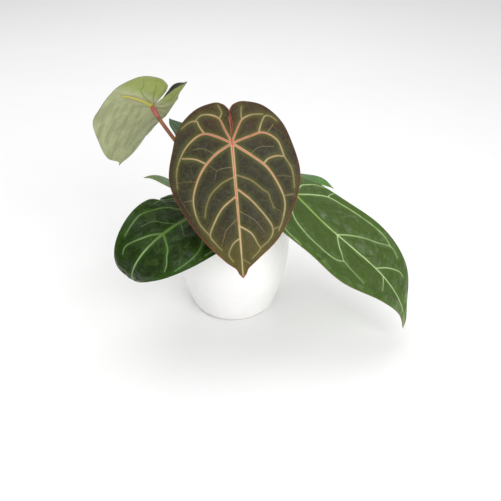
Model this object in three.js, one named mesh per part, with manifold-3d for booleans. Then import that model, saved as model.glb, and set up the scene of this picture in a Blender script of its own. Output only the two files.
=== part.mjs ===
// A potted foliage plant: seven heart-shaped leaves on long stalks, growing from one
// short stem in a potting mix, in a plastic grower's pot that stands in a ceramic pot.
// Millimetres, +Z up. The origin is the middle of the ceramic pot's foot, on the surface
// that it stands on. The front of the plant looks along -Y.

import * as THREE from 'three';
import { mergeVertices } from 'three/addons/utils/BufferGeometryUtils.js';
import Module from 'manifold-3d';

const wasm = await Module();
wasm.setup();

// Driving dimensions

const GAP = 0.35;              // clearance kept between pieces that touch

const POT_HEIGHT = 130;
const POT_TOP_RADIUS = 70;
const POT_FOOT_RADIUS = 53;
const POT_CURVE_HEIGHT = 80;   // the wall is upright above this height
const POT_CURVE_POWER = 1.6;
const POT_WALL = 4.5;
const POT_FLOOR = 8;
const POT_FOOT_BEVEL = 1.6;
const POT_RIM_ROUND = 1;       // the rim's edges are eased by this much
const POT_SEGMENTS = 48;

const LINER_HEIGHT = 112;
const LINER_TOP_RADIUS = 60;
const LINER_FOOT_RADIUS = 45;
const LINER_WALL = 1.5;
const LINER_LIP = 3;
const LINER_LIP_HEIGHT = 8;
const LINER_SEGMENTS = 40;
const DRAIN_HOLES = 6;
const DRAIN_HOLE_RADIUS = 5;
const DRAIN_CIRCLE_RADIUS = 32;

const SOIL_TOP = 108;
const SOIL_RELIEF = 3.2;
const SOIL_RINGS = 5;
const SOIL_INNER_RADIUS = 6;
const SOIL_EDGE_SLOPE = 4;
const SOIL_SEGMENTS = LINER_SEGMENTS;

const STEM_RADIUS = 9;
const STEM_FOOT = 84;
const STEM_TOP = 133;
const STEM_SIDES = 20;
const ROOT_RADIUS = 1.9;
const ROOT_HEIGHT = 6;         // above the potting mix, where a root leaves the stem
const ROOTS = [                // degrees round the stem, and how far each one reaches
  { turn: -60, reach: 13 }, { turn: 20, reach: 15 }, { turn: 78, reach: 12 }, { turn: 200, reach: 14 },
];
const SCALE_COUNT = 6;
const SCALE_LENGTH = 13;
const SCALE_RADIUS = 2.6;
const SCALE_FLATNESS = 0.45;
const SCALE_LEAN = 14;         // degrees that each dry scale leans out
const SCALE_START = 35;        // degrees round the stem

const BLADE_THICKNESS = 0.9;
const RIB_THICKNESS = 2.4;     // at the junction, thinning towards the tip
const STALK_SIDES = 9;
const STALK_STEPS = 15;

const DEG = Math.PI / 180;

// Leaves. Each blade is drawn flat first, junction at 0,0 and tip at +length, and then
// bent. Outlines run from the sinus round the basal lobe to just before the tip, as
// [distance from the midrib, distance along it]; one that starts below 0 reaches a little
// past the midrib. The lists bend, fold, cup and twist give degrees at the end of the
// lobes, the junction, the middle and the tip: bend arches the midrib, fold lifts each
// half from it, cup rolls each half, twist turns it.

const LEAVES = {
  front: {
    at: [3, -62, 253], heading: -81, pitch: -56, roll: 4, length: 142, lobe: 44, width: 140,
    bend: [2, 0, -4, -17], twist: [0, 0, 2, 0], wave: 0.7,
    left: { outline: [[0.5, -31], [4, -38], [16, -42.5], [36, -37], [54, -21], [63, 0], [70, 33],
      [63, 63], [42, 100], [18, 122], [7, 131], [4, 137]],
      fold: [-4, -3, -2, -3], cup: [-15, -12, -12, -4] },
    right: { outline: [[0.5, -31], [5, -39], [15, -43], [36, -37], [54, -21], [62, 0], [70, 33],
      [61, 63], [40, 97], [18, 122], [7, 131], [4, 137]],
      fold: [-4, -3, -5, -4], cup: [-16, -13, -14, -5] },
    stalk: { root: [-1, -5, 129], rise: [3, 4, 62], reach: 30, radius: 2.5 },
  },
  left: {
    at: [-34, -37, 154], heading: -126, pitch: 10, roll: -20, length: 150, lobe: 36, width: 115,
    bend: [4, 0, -34, -147], twist: [0, 4, -3, -11], wave: 1.2,
    left: { outline: [[0.5, -31], [13, -36], [29, -30], [44, -16], [52, 0], [54, 35], [49, 66],
      [34, 103], [14, 128], [4, 143]], fold: [4, 5, 2, -4], cup: [-25, -23, -23, -22] },
    right: { outline: [[0.5, -31], [13, -36], [29, -30], [42, -16], [49, 0], [57, 35], [47, 65],
      [33, 102], [17, 130], [4, 143]], fold: [4, 1, 5, 7], cup: [-26, -28, -22, -18] },
    stalk: { root: [-4, -5, 119], rise: [-13, -12, 16], reach: 14, radius: 2.4 },
  },
  right: {
    at: [72, -47, 183], heading: -19, pitch: -43, roll: 12, length: 225, lobe: 50, width: 112,
    bend: [7, 0, 6, -48], twist: [0, -3, 3, 1], wave: 1.2,
    left: { outline: [[0.5, -34], [9, -40], [19, -33], [27, -14], [35, 0], [47, 15], [52, 52],
      [50, 99], [35, 154], [13, 193], [5, 215]], fold: [6, 0, 11, 6], cup: [-11, -17, -2, -2] },
    right: { outline: [[0.5, -43], [12, -50], [28, -42], [43, -23], [53, 0], [51, 51], [50, 101],
      [30, 151], [10, 191], [5, 215]], fold: [6, 4, 8, 5], cup: [-11, -13, -5, -7] },
    stalk: { root: [6, -2, 120], rise: [24, -4, 34], reach: 24, radius: 2.6 },
  },
  right_back: {
    at: [33, 33, 160], heading: -11, pitch: 11, roll: -8, length: 95, lobe: 28, width: 62,
    bend: [0, 0, -8, -45], twist: [0, 0, -5, 2], wave: 0.6,
    left: { outline: [[0.5, -24], [7, -28], [16, -24], [24, -13], [28, 0], [30, 22], [27, 42],
      [18, 65], [9, 82], [2, 91]], fold: [4, 4, -1, 1], cup: [-20, -20, -25, -15] },
    right: { outline: [[0.5, -24], [7, -28], [16, -24], [24, -13], [28, 0], [30, 22], [26, 42],
      [18, 65], [8, 82], [2, 91]], fold: [4, 4, 2, 0], cup: [-20, -20, -20, -15] },
    stalk: { root: [5, 4, 117], rise: [14, 10, 24], reach: 12, radius: 1.9 },
  },
  back_left: {
    at: [-91, 37, 251], heading: 142, pitch: -51, roll: 30, length: 120, lobe: 54, width: 112,
    bend: [0, 0, 0, -23], twist: [1, 5, 0, -7], wave: 0.8,
    left: { outline: [[-5, -29], [-3, -38], [9, -45], [28, -40], [44, -20], [50, 0], [53, 28],
      [53, 54], [36, 85], [20, 107], [3, 114]],
      fold: [6, 3, 3, -4], cup: [11, 5, 4, -1], back: -11 },
    right: { outline: [[10, -43], [14, -54], [20, -48], [32, -35], [49, -14], [54, 22], [50, 53],
      [32, 82], [15, 103], [4, 114]], fold: [-28, -36, -9, 5], cup: [190, 184, 116, 92], back: 6 },
    stalk: { root: [-5, 2, 126], rise: [-22, 12, 40], reach: 18, radius: 2.5, seat: 0.75 },
  },
  back: {
    at: [-23, 50, 182], heading: 136, pitch: 25, roll: 1, length: 86, lobe: 20, width: 54,
    bend: [0, 0, -16, -5], twist: [0, 0, 0, -1], wave: 0.5,
    left: { outline: [[0.5, -17], [6, -20], [14, -17], [21, -9], [24, 0], [26, 20], [23, 38],
      [14, 58], [8, 75], [2, 83]], fold: [4, 4, 3, 0], cup: [-20, -20, -19, -15] },
    right: { outline: [[0.5, -17], [6, -20], [14, -17], [21, -9], [24, 0], [26, 20], [23, 38],
      [16, 59], [7, 74], [2, 82]], fold: [4, 4, 3, 1], cup: [-20, -20, -19, -15] },
    stalk: { root: [0, 6, 123], rise: [-2, 14, 25], reach: 12, radius: 1.9 },
  },
  side: {
    at: [-46, 28, 141], heading: 160, pitch: 12, roll: 24, length: 72, lobe: 18, width: 44,
    bend: [0, 0, 3, -33], twist: [0, 0, 2, -4], wave: 0.4,
    left: { outline: [[0.5, -15], [5, -18], [11, -15], [17, -8], [20, 0], [21, 17], [19, 32],
      [13, 49], [6, 62], [2, 69]], fold: [4, 4, 0, -1], cup: [-20, -20, -22, -16] },
    right: { outline: [[0.5, -15], [5, -18], [11, -15], [17, -8], [20, 0], [21, 17], [19, 32],
      [13, 49], [6, 62], [2, 69]], fold: [4, 4, -1, 2], cup: [-20, -20, -24, -16] },
    stalk: { root: [-5, 4, 116], rise: [-16, 12, 10], reach: 8, radius: 1.7 },
  },
};

const STATIONS = [-1, 0, 0.5, 1];
const MIDRIB_LAG = 0.8;        // side veins leave the midrib this far back from where they end
const ROWS_PER_VEIN = 4;
const QUILT = 1.5;             // how far the blade swells between two side veins
const RELIEF_FADE = 20;        // swellings fade out where the blade is narrower than this
const WAVE_PER_ROW = 1.3;      // radians of the margin's wave from one row to the next
const SPINE_STEPS = 60;

// Materials

function finish(color, roughness, metalness = 0) {
  return new THREE.MeshStandardMaterial({ color, roughness, metalness });
}

const FINISH = {
  ceramic: finish(0xf4f4f3, 0.35),
  liner: finish(0x2b2b2a, 0.6),
  soil: finish(0x4b3625, 0.95),
  stem: finish(0x7a6a45, 0.8),
  stalkRed: finish(0x8a5a44, 0.5),
  stalkGreen: finish(0x6f7c45, 0.5),
  front: finish(0x5a5540, 0.6),
  dark: finish(0x2c3f1c, 0.35),
  mid: finish(0x5c6f42, 0.4),
  pale: finish(0x8fa06a, 0.45),
};

// Helpers

function toSolid(geometry) {
  const bare = geometry.clone();
  bare.deleteAttribute('normal');
  bare.deleteAttribute('uv');
  const merged = mergeVertices(bare, 1e-4);
  return new wasm.Manifold(new wasm.Mesh({
    numProp: 3,
    vertProperties: new Float32Array(merged.attributes.position.array),
    triVerts: new Uint32Array(merged.index.array),
  }));
}

function toGeometry(solid) {
  const mesh = solid.getMesh();
  const geometry = new THREE.BufferGeometry();
  geometry.setAttribute('position', new THREE.BufferAttribute(mesh.vertProperties.slice(), mesh.numProp));
  geometry.setIndex(new THREE.BufferAttribute(mesh.triVerts.slice(), 1));
  geometry.computeVertexNormals();
  return geometry;
}

// A small repeatable random number generator, so that the soil is the same each time.
function seeded(seed) {
  let state = seed;
  return () => {
    state = (state * 16807) % 2147483647;
    return state / 2147483647;
  };
}

// A smooth value at w from the four stations along a leaf.
function along(values, w) {
  const x = Math.min(1, Math.max(-1, w));
  const slope = (i) => {
    const a = Math.max(0, i - 1);
    const b = Math.min(values.length - 1, i + 1);
    return (values[b] - values[a]) / (STATIONS[b] - STATIONS[a]);
  };
  let i = 0;
  while (i < STATIONS.length - 2 && x > STATIONS[i + 1]) i += 1;
  const span = STATIONS[i + 1] - STATIONS[i];
  const t = (x - STATIONS[i]) / span;
  const [t2, t3] = [t * t, t * t * t];
  return (2 * t3 - 3 * t2 + 1) * values[i] + (t3 - 2 * t2 + t) * span * slope(i)
    + (3 * t2 - 2 * t3) * values[i + 1] + (t3 - t2) * span * slope(i + 1);
}

// A profile of [radius, height] pairs turned round the upright axis.
function lathe(profile, segments) {
  const points = profile.map(([radius, height]) => new THREE.Vector2(radius, height));
  return new THREE.LatheGeometry(points, segments).rotateX(Math.PI / 2);
}

// A tube through a curve whose radius varies along it, with flat ends.
function tube(curve, radiusAt, sides, steps) {
  const frames = curve.computeFrenetFrames(steps, false);
  const positions = [];
  const index = [];
  for (let i = 0; i <= steps; i += 1) {
    const centre = curve.getPointAt(i / steps);
    const radius = radiusAt(i / steps);
    for (let j = 0; j < sides; j += 1) {
      const angle = (2 * Math.PI * j) / sides;
      const out = frames.normals[i].clone().multiplyScalar(Math.cos(angle) * radius)
        .addScaledVector(frames.binormals[i], Math.sin(angle) * radius);
      positions.push(...centre.clone().add(out).toArray());
    }
  }
  for (let i = 0; i < steps; i += 1) {
    for (let j = 0; j < sides; j += 1) {
      const a = i * sides + j;
      const b = i * sides + ((j + 1) % sides);
      index.push(a, b, a + sides, b, b + sides, a + sides);
    }
  }
  for (let j = 1; j < sides - 1; j += 1) {
    index.push(0, j + 1, j);
    const end = steps * sides;
    index.push(end, end + j, end + j + 1);
  }
  const geometry = new THREE.BufferGeometry();
  geometry.setAttribute('position', new THREE.Float32BufferAttribute(positions, 3));
  geometry.setIndex(index);
  return geometry;
}

// The ceramic pot

function potRadius(z) {
  const rest = 1 - Math.min(1, z / POT_CURVE_HEIGHT);
  return POT_FOOT_RADIUS + (POT_TOP_RADIUS - POT_FOOT_RADIUS) * (1 - rest ** POT_CURVE_POWER);
}

function makePot() {
  const below = POT_HEIGHT - 2 * POT_RIM_ROUND;
  const outside = [POT_FOOT_BEVEL, 6, 14, 26, 40, 58, POT_CURVE_HEIGHT, below];
  const inside = [below, POT_CURVE_HEIGHT, 40, 20, POT_FLOOR + POT_WALL];
  const profile = [
    [0, 0],
    [POT_FOOT_RADIUS - POT_FOOT_BEVEL, 0],
    ...outside.map((z) => [potRadius(z), z]),
    [POT_TOP_RADIUS - POT_RIM_ROUND, POT_HEIGHT],
    [POT_TOP_RADIUS - POT_WALL + POT_RIM_ROUND, POT_HEIGHT],
    ...inside.map((z) => [potRadius(z) - POT_WALL, z]),
    [potRadius(POT_FLOOR) - 2 * POT_WALL, POT_FLOOR],
    [0, POT_FLOOR],
  ];
  return lathe(profile, POT_SEGMENTS);
}

// The plastic grower's pot inside it, with drain holes in its floor

const LINER_FOOT = POT_FLOOR + GAP;

function linerRadius(z) {
  return LINER_FOOT_RADIUS + (LINER_TOP_RADIUS - LINER_FOOT_RADIUS) * (z / LINER_HEIGHT);
}

function makeLiner() {
  const top = LINER_HEIGHT;
  const lipFoot = top - LINER_LIP_HEIGHT;
  const lip = LINER_LIP - LINER_WALL;
  let shell = toSolid(lathe([
    [0, 0],
    [LINER_FOOT_RADIUS, 0],
    [linerRadius(lipFoot), lipFoot],
    [linerRadius(lipFoot) + lip, lipFoot],
    [linerRadius(top) + lip, top],
    [linerRadius(top) - LINER_WALL, top],
    [linerRadius(LINER_WALL) - LINER_WALL, LINER_WALL],
    [0, LINER_WALL],
  ], LINER_SEGMENTS));
  for (let i = 0; i < DRAIN_HOLES; i += 1) {
    const angle = (2 * Math.PI * i) / DRAIN_HOLES;
    const hole = new THREE.CylinderGeometry(DRAIN_HOLE_RADIUS, DRAIN_HOLE_RADIUS, 4 * LINER_WALL, 12)
      .rotateX(Math.PI / 2);
    hole.translate(DRAIN_CIRCLE_RADIUS * Math.cos(angle), DRAIN_CIRCLE_RADIUS * Math.sin(angle), 0);
    shell = shell.subtract(toSolid(hole));
  }
  return toGeometry(shell).translate(0, 0, LINER_FOOT);
}

// The potting mix: a plug that fills the grower's pot, lumpy on top, with a plain hole
// for the stem

function makeSoil() {
  const random = seeded(7);
  const foot = LINER_FOOT + LINER_WALL + GAP;
  const radiusAt = (z) => linerRadius(z - LINER_FOOT) - LINER_WALL - GAP;
  const positions = [];
  const ring = (radius, height) => {
    for (let j = 0; j < SOIL_SEGMENTS; j += 1) {
      const angle = (2 * Math.PI * j) / SOIL_SEGMENTS;
      positions.push(radius * Math.cos(angle), radius * Math.sin(angle), height());
    }
  };
  ring(radiusAt(foot), () => foot);
  ring(radiusAt(SOIL_TOP - SOIL_RELIEF), () => SOIL_TOP - SOIL_RELIEF);
  const outermost = radiusAt(SOIL_TOP) - SOIL_EDGE_SLOPE;
  for (let k = 1; k <= SOIL_RINGS; k += 1) {
    const share = 1 - k / SOIL_RINGS;
    const radius = SOIL_INNER_RADIUS + (outermost - SOIL_INNER_RADIUS) * share;
    ring(radius, () => SOIL_TOP + (random() - 0.5) * SOIL_RELIEF);
  }
  const index = [];
  const rings = SOIL_RINGS + 2;
  for (let k = 0; k < rings - 1; k += 1) {
    for (let j = 0; j < SOIL_SEGMENTS; j += 1) {
      const a = k * SOIL_SEGMENTS + j;
      const b = k * SOIL_SEGMENTS + ((j + 1) % SOIL_SEGMENTS);
      index.push(a, b, a + SOIL_SEGMENTS, b, b + SOIL_SEGMENTS, a + SOIL_SEGMENTS);
    }
  }
  for (let j = 1; j < SOIL_SEGMENTS - 1; j += 1) {
    const last = (rings - 1) * SOIL_SEGMENTS;
    index.push(0, j + 1, j);
    index.push(last, last + j, last + j + 1);
  }
  const geometry = new THREE.BufferGeometry();
  geometry.setAttribute('position', new THREE.Float32BufferAttribute(positions, 3));
  geometry.setIndex(index);
  const depth = SOIL_TOP + SOIL_RELIEF - STEM_FOOT + GAP;
  const hole = new THREE.CylinderGeometry(STEM_RADIUS + GAP, STEM_RADIUS + GAP, depth, STEM_SIDES)
    .rotateX(Math.PI / 2);
  hole.translate(0, 0, STEM_FOOT - GAP + depth / 2);
  return toGeometry(toSolid(geometry).subtract(toSolid(hole)));
}

// The short stem, with stubs of roots and the dry scales of earlier leaves

function stemBody(extra) {
  return toSolid(lathe([
    [0, STEM_FOOT - extra],
    [STEM_RADIUS + extra, STEM_FOOT - extra],
    [STEM_RADIUS + extra, SOIL_TOP + 5],
    [STEM_RADIUS - 1.5 + extra, SOIL_TOP + 9],
    [STEM_RADIUS - 1.2 + extra, SOIL_TOP + 13],
    [STEM_RADIUS - 3 + extra, STEM_TOP - 6],
    [STEM_RADIUS - 6 + extra, STEM_TOP + extra],
    [0, STEM_TOP + extra],
  ], STEM_SIDES));
}

function makeRoot({ turn, reach }) {
  const out = new THREE.Vector3(Math.cos(turn * DEG), Math.sin(turn * DEG), 0);
  const start = out.clone().multiplyScalar(STEM_RADIUS / 2).setZ(SOIL_TOP + ROOT_HEIGHT);
  const knee = out.clone().multiplyScalar(STEM_RADIUS + reach / 2).setZ(SOIL_TOP + ROOT_HEIGHT + 1);
  const end = out.clone().multiplyScalar(STEM_RADIUS + reach).setZ(SOIL_TOP + ROOT_HEIGHT - 1.4);
  const path = new THREE.QuadraticBezierCurve3(start, knee, end);
  return toSolid(tube(path, (t) => ROOT_RADIUS * (1 - 0.45 * t), 7, 6));
}

function makeScale(i) {
  const scale = new THREE.ConeGeometry(SCALE_RADIUS, SCALE_LENGTH, 4, 1).scale(1, 1, SCALE_FLATNESS);
  scale.rotateX(Math.PI / 2);
  scale.rotateZ(Math.PI / 2);
  scale.rotateY(SCALE_LEAN * DEG);
  scale.translate(STEM_RADIUS - 1.4, 0, SOIL_TOP + 9 + (i % 3));
  scale.rotateZ((SCALE_START + (i * 360) / SCALE_COUNT) * DEG);
  return toSolid(scale);
}

function makeStem() {
  const scales = Array.from({ length: SCALE_COUNT }, (_, i) => makeScale(i));
  const stalks = Object.values(LEAVES).map((leaf) => stalkBody(leaf, GAP));
  let body = stemBody(0);
  for (const extra of [...ROOTS.map(makeRoot), ...scales]) {
    body = body.add(stalks.reduce((rest, stalk) => rest.subtract(stalk), extra));
  }
  const pieces = body.decompose().sort((a, b) => b.volume() - a.volume());
  return toGeometry(pieces[0]);
}

// Leaf blades

// The leaf's own directions: right, towards the tip, and out of the upper face.
function leafAxes(leaf) {
  const [h, p, r] = [leaf.heading * DEG, leaf.pitch * DEG, leaf.roll * DEG];
  const tip = new THREE.Vector3(Math.cos(p) * Math.cos(h), Math.cos(p) * Math.sin(h), Math.sin(p));
  const level = new THREE.Vector3(Math.sin(h), -Math.cos(h), 0);
  const upright = new THREE.Vector3().crossVectors(level, tip);
  const right = level.multiplyScalar(Math.cos(r)).addScaledVector(upright, -Math.sin(r));
  const up = new THREE.Vector3().crossVectors(right, tip);
  return { right, tip, up };
}

// The arched midrib as a list of distance, place along, height and angle.
function makeSpine(leaf, back) {
  const bend = back === undefined ? leaf.bend : [back, ...leaf.bend.slice(1)];
  const angleAt = (y) => along(bend, y < 0 ? y / leaf.lobe : y / leaf.length) * DEG;
  const walk = (end) => {
    const list = [{ s: 0, y: 0, z: 0, a: 0 }];
    const step = end / SPINE_STEPS;
    for (let i = 1; i <= SPINE_STEPS; i += 1) {
      const last = list[i - 1];
      const middle = 0.5 * (angleAt(step * i) + angleAt(step * (i - 1)));
      list.push({
        s: step * i,
        y: last.y + Math.cos(middle) * step,
        z: last.z + Math.sin(middle) * step,
        a: angleAt(step * i),
      });
    }
    return list;
  };
  return { ahead: walk(leaf.length), behind: walk(-leaf.lobe) };
}

function spineAt(spine, leaf, s) {
  const list = s < 0 ? spine.behind : spine.ahead;
  const reach = s < 0 ? -leaf.lobe : leaf.length;
  const place = Math.min(SPINE_STEPS, (s / reach) * SPINE_STEPS);
  const i = Math.min(SPINE_STEPS - 1, Math.floor(place));
  const f = place - i;
  const mix = (k) => list[i][k] * (1 - f) + list[i + 1][k] * f;
  return { y: mix('y'), z: mix('z'), a: mix('a') };
}

// A point of the flat leaf, x across and y along, taken to its place in space.
function bendPoint(leaf, half, side, spine, x, y, lift) {
  const w = y < 0 ? y / leaf.lobe : y / leaf.length;
  const fold = along(half.fold, w) * DEG;
  const twist = along(leaf.twist, w) * DEG;
  const roll = (0.5 * along(half.cup, w) * DEG * Math.abs(x)) / (leaf.width / 2);
  const chord = x * (Math.abs(roll) < 1e-6 ? 1 : Math.sin(roll) / roll);
  const across = side * chord * Math.cos(fold + roll);
  const raised = Math.abs(chord) * Math.sin(fold + roll) + lift;
  const { y: sy, z: sz, a } = spineAt(spine, leaf, y);
  const lx = across * Math.cos(twist) + raised * Math.sin(twist);
  const lz = raised * Math.cos(twist) - across * Math.sin(twist);
  const axes = leafAxes(leaf);
  return new THREE.Vector3(...leaf.at)
    .addScaledVector(axes.right, lx)
    .addScaledVector(axes.tip, sy - lz * Math.sin(a))
    .addScaledVector(axes.up, sz + lz * Math.cos(a));
}

// Points along one half's outline, from the sinus to the tip.
function outlinePoints(leaf, name, rows) {
  const knots = [...leaf[name].outline, [0, leaf.length]].map(([x, y]) => new THREE.Vector3(x, y, 0));
  const curve = new THREE.CatmullRomCurve3(knots, false, 'catmullrom', 0.5);
  const points = [];
  for (let i = 0; i < rows; i += 1) points.push(curve.getPoint(i / rows));
  points.push(knots[knots.length - 1]);
  return points;
}

function makeBlade(leaf, perSpan, columns) {
  const points = [];
  const thickness = [];
  const known = new Map();
  const faces = [];
  const edges = { left: [], right: [] };

  const vertex = (half, side, spine, x, y, lift) => {
    const key = `${(side * x).toFixed(3)} ${y.toFixed(3)}`;
    if (!known.has(key)) {
      known.set(key, points.length);
      points.push(bendPoint(leaf, half, side, spine, x, y, lift));
      const nearTip = Math.max(0, y / leaf.length);
      const rib = RIB_THICKNESS + (BLADE_THICKNESS - RIB_THICKNESS) * nearTip;
      thickness.push(x === 0 ? rib : BLADE_THICKNESS);
    }
    return known.get(key);
  };

  const rows = leaf.left.outline.length * perSpan;
  const margin = { left: outlinePoints(leaf, 'left', rows), right: outlinePoints(leaf, 'right', rows) };
  const footOf = (i) => Math.max(0, 0.5 * (margin.left[i].y + margin.right[i].y)) * MIDRIB_LAG;

  for (const [name, side] of [['left', -1], ['right', 1]]) {
    const half = leaf[name];
    const spine = makeSpine(leaf, half.back);
    const net = [];
    for (let i = 0; i <= rows; i += 1) {
      const edge = margin[name][i];
      const foot = footOf(i);
      const quilt = QUILT * Math.sin((Math.PI * i) / ROWS_PER_VEIN) ** 2;
      const line = [];
      for (let k = 0; k <= columns; k += 1) {
        const t = k / columns;
        const x = i === rows ? 0 : edge.x * t;
        const y = foot + (edge.y - foot) * t;
        const broad = i === rows ? 0 : Math.min(1, Math.abs(edge.x) / RELIEF_FADE);
        const swell = quilt * 4 * t * (1 - t) * broad;
        const wave = leaf.wave * t ** 3 * Math.sin(i * WAVE_PER_ROW) * broad;
        line.push(vertex(half, side, spine, x, y, swell + wave));
      }
      net.push(line);
    }
    const add = (a, b, c) => {
      if (a === b || b === c || a === c) return;
      faces.push(side > 0 ? [a, b, c] : [a, c, b]);
    };
    for (let i = 0; i < rows; i += 1) {
      for (let k = 0; k < columns; k += 1) {
        add(net[i][k], net[i][k + 1], net[i + 1][k]);
        add(net[i][k + 1], net[i + 1][k + 1], net[i + 1][k]);
      }
    }
    edges[name] = [...net[0].slice(1), ...net.slice(1).map((line) => line[columns])];
  }

  const normals = points.map(() => new THREE.Vector3());
  for (const [a, b, c] of faces) {
    const n = points[b].clone().sub(points[a]).cross(points[c].clone().sub(points[a]));
    for (const v of [a, b, c]) normals[v].add(n);
  }
  const count = points.length;
  const positions = [];
  for (const p of points) positions.push(...p.toArray());
  points.forEach((p, i) => {
    positions.push(...p.clone().addScaledVector(normals[i].normalize(), -thickness[i]).toArray());
  });
  const index = [];
  for (const [a, b, c] of faces) {
    index.push(a, b, c);
    index.push(a + count, c + count, b + count);
  }
  const junction = known.get('0.000 0.000');
  const loop = [junction, ...edges.right, ...edges.left.slice(0, -1).reverse()];
  loop.forEach((a, i) => {
    const b = loop[(i + 1) % loop.length];
    index.push(a, a + count, b, b, a + count, b + count);
  });
  const geometry = new THREE.BufferGeometry();
  geometry.setAttribute('position', new THREE.Float32BufferAttribute(positions, 3));
  geometry.setIndex(index);
  return geometry;
}

// Leaf stalks: from the stem to the underside of the blade, swollen just below it. With
// extra, the stalk is that much thicker, to clear what lies round its root.

function stalkBody(leaf, extra) {
  const { root, rise, reach, radius, seat = 0 } = leaf.stalk;
  const { up } = leafAxes(leaf);
  const junction = new THREE.Vector3(...leaf.at);
  const top = junction.clone().addScaledVector(up, -(RIB_THICKNESS + GAP + seat));
  const upwards = new THREE.Vector3(...rise);
  const start = new THREE.Vector3(...root);
  const path = new THREE.CubicBezierCurve3(
    start.clone().addScaledVector(upwards.clone().normalize(), -2 * extra),
    start.clone().add(upwards),
    junction.clone().addScaledVector(up, -reach),
    top,
  );
  const length = path.getLength();
  const radiusAt = (t) => {
    const fromTop = (1 - t) * length;
    const swelling = 0.22 * radius * Math.exp(-(((fromTop - 5) / 5) ** 2));
    const sheath = 0.5 * radius * Math.exp(-((t * length) / 12));
    return radius + swelling + sheath;
  };
  return toSolid(tube(path, (t) => radiusAt(t) + extra, STALK_SIDES, STALK_STEPS));
}

function makeStalk(leaf) {
  return toGeometry(stalkBody(leaf, 0).subtract(stemBody(GAP)));
}

// Assembly

const plant = new THREE.Group();

function addPiece(name, geometry, material) {
  const mesh = new THREE.Mesh(geometry, material);
  mesh.name = name;
  plant.add(mesh);
}

addPiece('decorative_pot', makePot(), FINISH.ceramic);
addPiece('grower_pot', makeLiner(), FINISH.liner);
addPiece('potting_mix', makeSoil(), FINISH.soil);
addPiece('stem', makeStem(), FINISH.stem);

const LEAF_FINISH = {
  front: [FINISH.front, FINISH.stalkRed],
  left: [FINISH.dark, FINISH.stalkGreen],
  right: [FINISH.mid, FINISH.stalkGreen],
  right_back: [FINISH.mid, FINISH.stalkGreen],
  back_left: [FINISH.pale, FINISH.stalkRed],
  back: [FINISH.dark, FINISH.stalkGreen],
  side: [FINISH.pale, FINISH.stalkGreen],
};

const SMALL_LEAF = 100;        // blades shorter than this get a coarser mesh

for (const [name, leaf] of Object.entries(LEAVES)) {
  const [bladeFinish, stalkFinish] = LEAF_FINISH[name];
  const columns = leaf.length < SMALL_LEAF ? 4 : 6;
  addPiece(`blade_${name}`, makeBlade(leaf, 2, columns), bladeFinish);
  addPiece(`stalk_${name}`, makeStalk(leaf), stalkFinish);
}

export default plant;
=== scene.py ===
"""A potted foliage plant: seven heart-shaped leaves in a white ceramic pot.

It is laid out as an add-on with one operator for each group of pieces, and is run as a
script. Leaves are worked out in millimetres, and everything is built in metres, in the
frame of the packed model.
"""

import math
import random

import bmesh
import bpy
import numpy as np
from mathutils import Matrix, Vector, noise


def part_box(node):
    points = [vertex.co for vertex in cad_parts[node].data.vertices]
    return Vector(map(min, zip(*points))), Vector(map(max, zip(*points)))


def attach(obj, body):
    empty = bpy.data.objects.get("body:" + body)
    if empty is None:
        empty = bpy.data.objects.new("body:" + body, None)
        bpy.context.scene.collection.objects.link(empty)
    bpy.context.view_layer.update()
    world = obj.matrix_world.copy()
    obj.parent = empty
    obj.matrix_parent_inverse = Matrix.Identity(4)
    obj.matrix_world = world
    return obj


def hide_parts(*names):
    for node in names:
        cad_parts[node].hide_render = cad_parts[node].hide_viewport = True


bl_info = {
    "name": "Potted Foliage Plant",
    "version": (1, 0, 0),
    "blender": (4, 5, 0),
    "location": "View3D > Sidebar > Plant",
    "description": "Builds a potted plant with veined heart-shaped leaves round its frame",
    "category": "Add Mesh",
}

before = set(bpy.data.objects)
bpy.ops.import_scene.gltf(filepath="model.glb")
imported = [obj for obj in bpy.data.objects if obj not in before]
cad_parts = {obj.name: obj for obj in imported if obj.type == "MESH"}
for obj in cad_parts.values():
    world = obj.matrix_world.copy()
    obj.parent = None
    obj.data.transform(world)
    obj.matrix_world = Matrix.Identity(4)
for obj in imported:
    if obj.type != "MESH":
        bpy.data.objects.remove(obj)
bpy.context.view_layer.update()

MM = 0.001
_, POT_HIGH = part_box("decorative_pot")
LINER_LOW, LINER_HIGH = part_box("grower_pot")
MIX_LOW, MIX_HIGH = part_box("potting_mix")
STEM_LOW, STEM_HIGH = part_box("stem")


def srgb(red, green, blue):
    """A linear colour from the 0 to 255 values that a colour picker shows."""
    def linear(value):
        share = value / 255
        return share / 12.92 if share <= 0.04045 else ((share + 0.055) / 1.055) ** 2.4
    return (linear(red), linear(green), linear(blue))


# Leaves. Each blade is drawn flat first, junction at 0,0 and tip at +length, and then bent.
# Outlines run from the sinus round the basal lobe to just before the tip, as distance from
# the midrib and distance along it. The lists bend, fold, cup and twist give degrees at the
# end of the lobes, the junction, the middle and the tip. A vein is its width at the start
# and at the end, how clear it is, and its route, in the same flat coordinates.
#
# at is the junction's place, and turn the heading, pitch and roll of the midrib in degrees.
# spacing is the mesh width of the blade, relief scales its swelling between the veins, wave
# is how far its rim waves, and warm_reach how far from the junction its veins look warm.
# A stalk leaves the stem at root in the direction of rise, and turns up to its blade from as
# far below it as reach says.
# Some leaves have more: crumple makes the puckers deeper at the tip, midrib_clear makes the
# midrib less clear, overlap is how far the right lobe crosses the midrib, and back bends
# one half's lobe in its own way.

STATIONS = (-1.0, 0.0, 0.5, 1.0)

# Veins less clear than this are faint traces.
TRACE_BELOW = 0.65

# A row of the mesh starts on the midrib at this share of where it ends on the margin.
MIDRIB_LAG = 0.8

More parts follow.
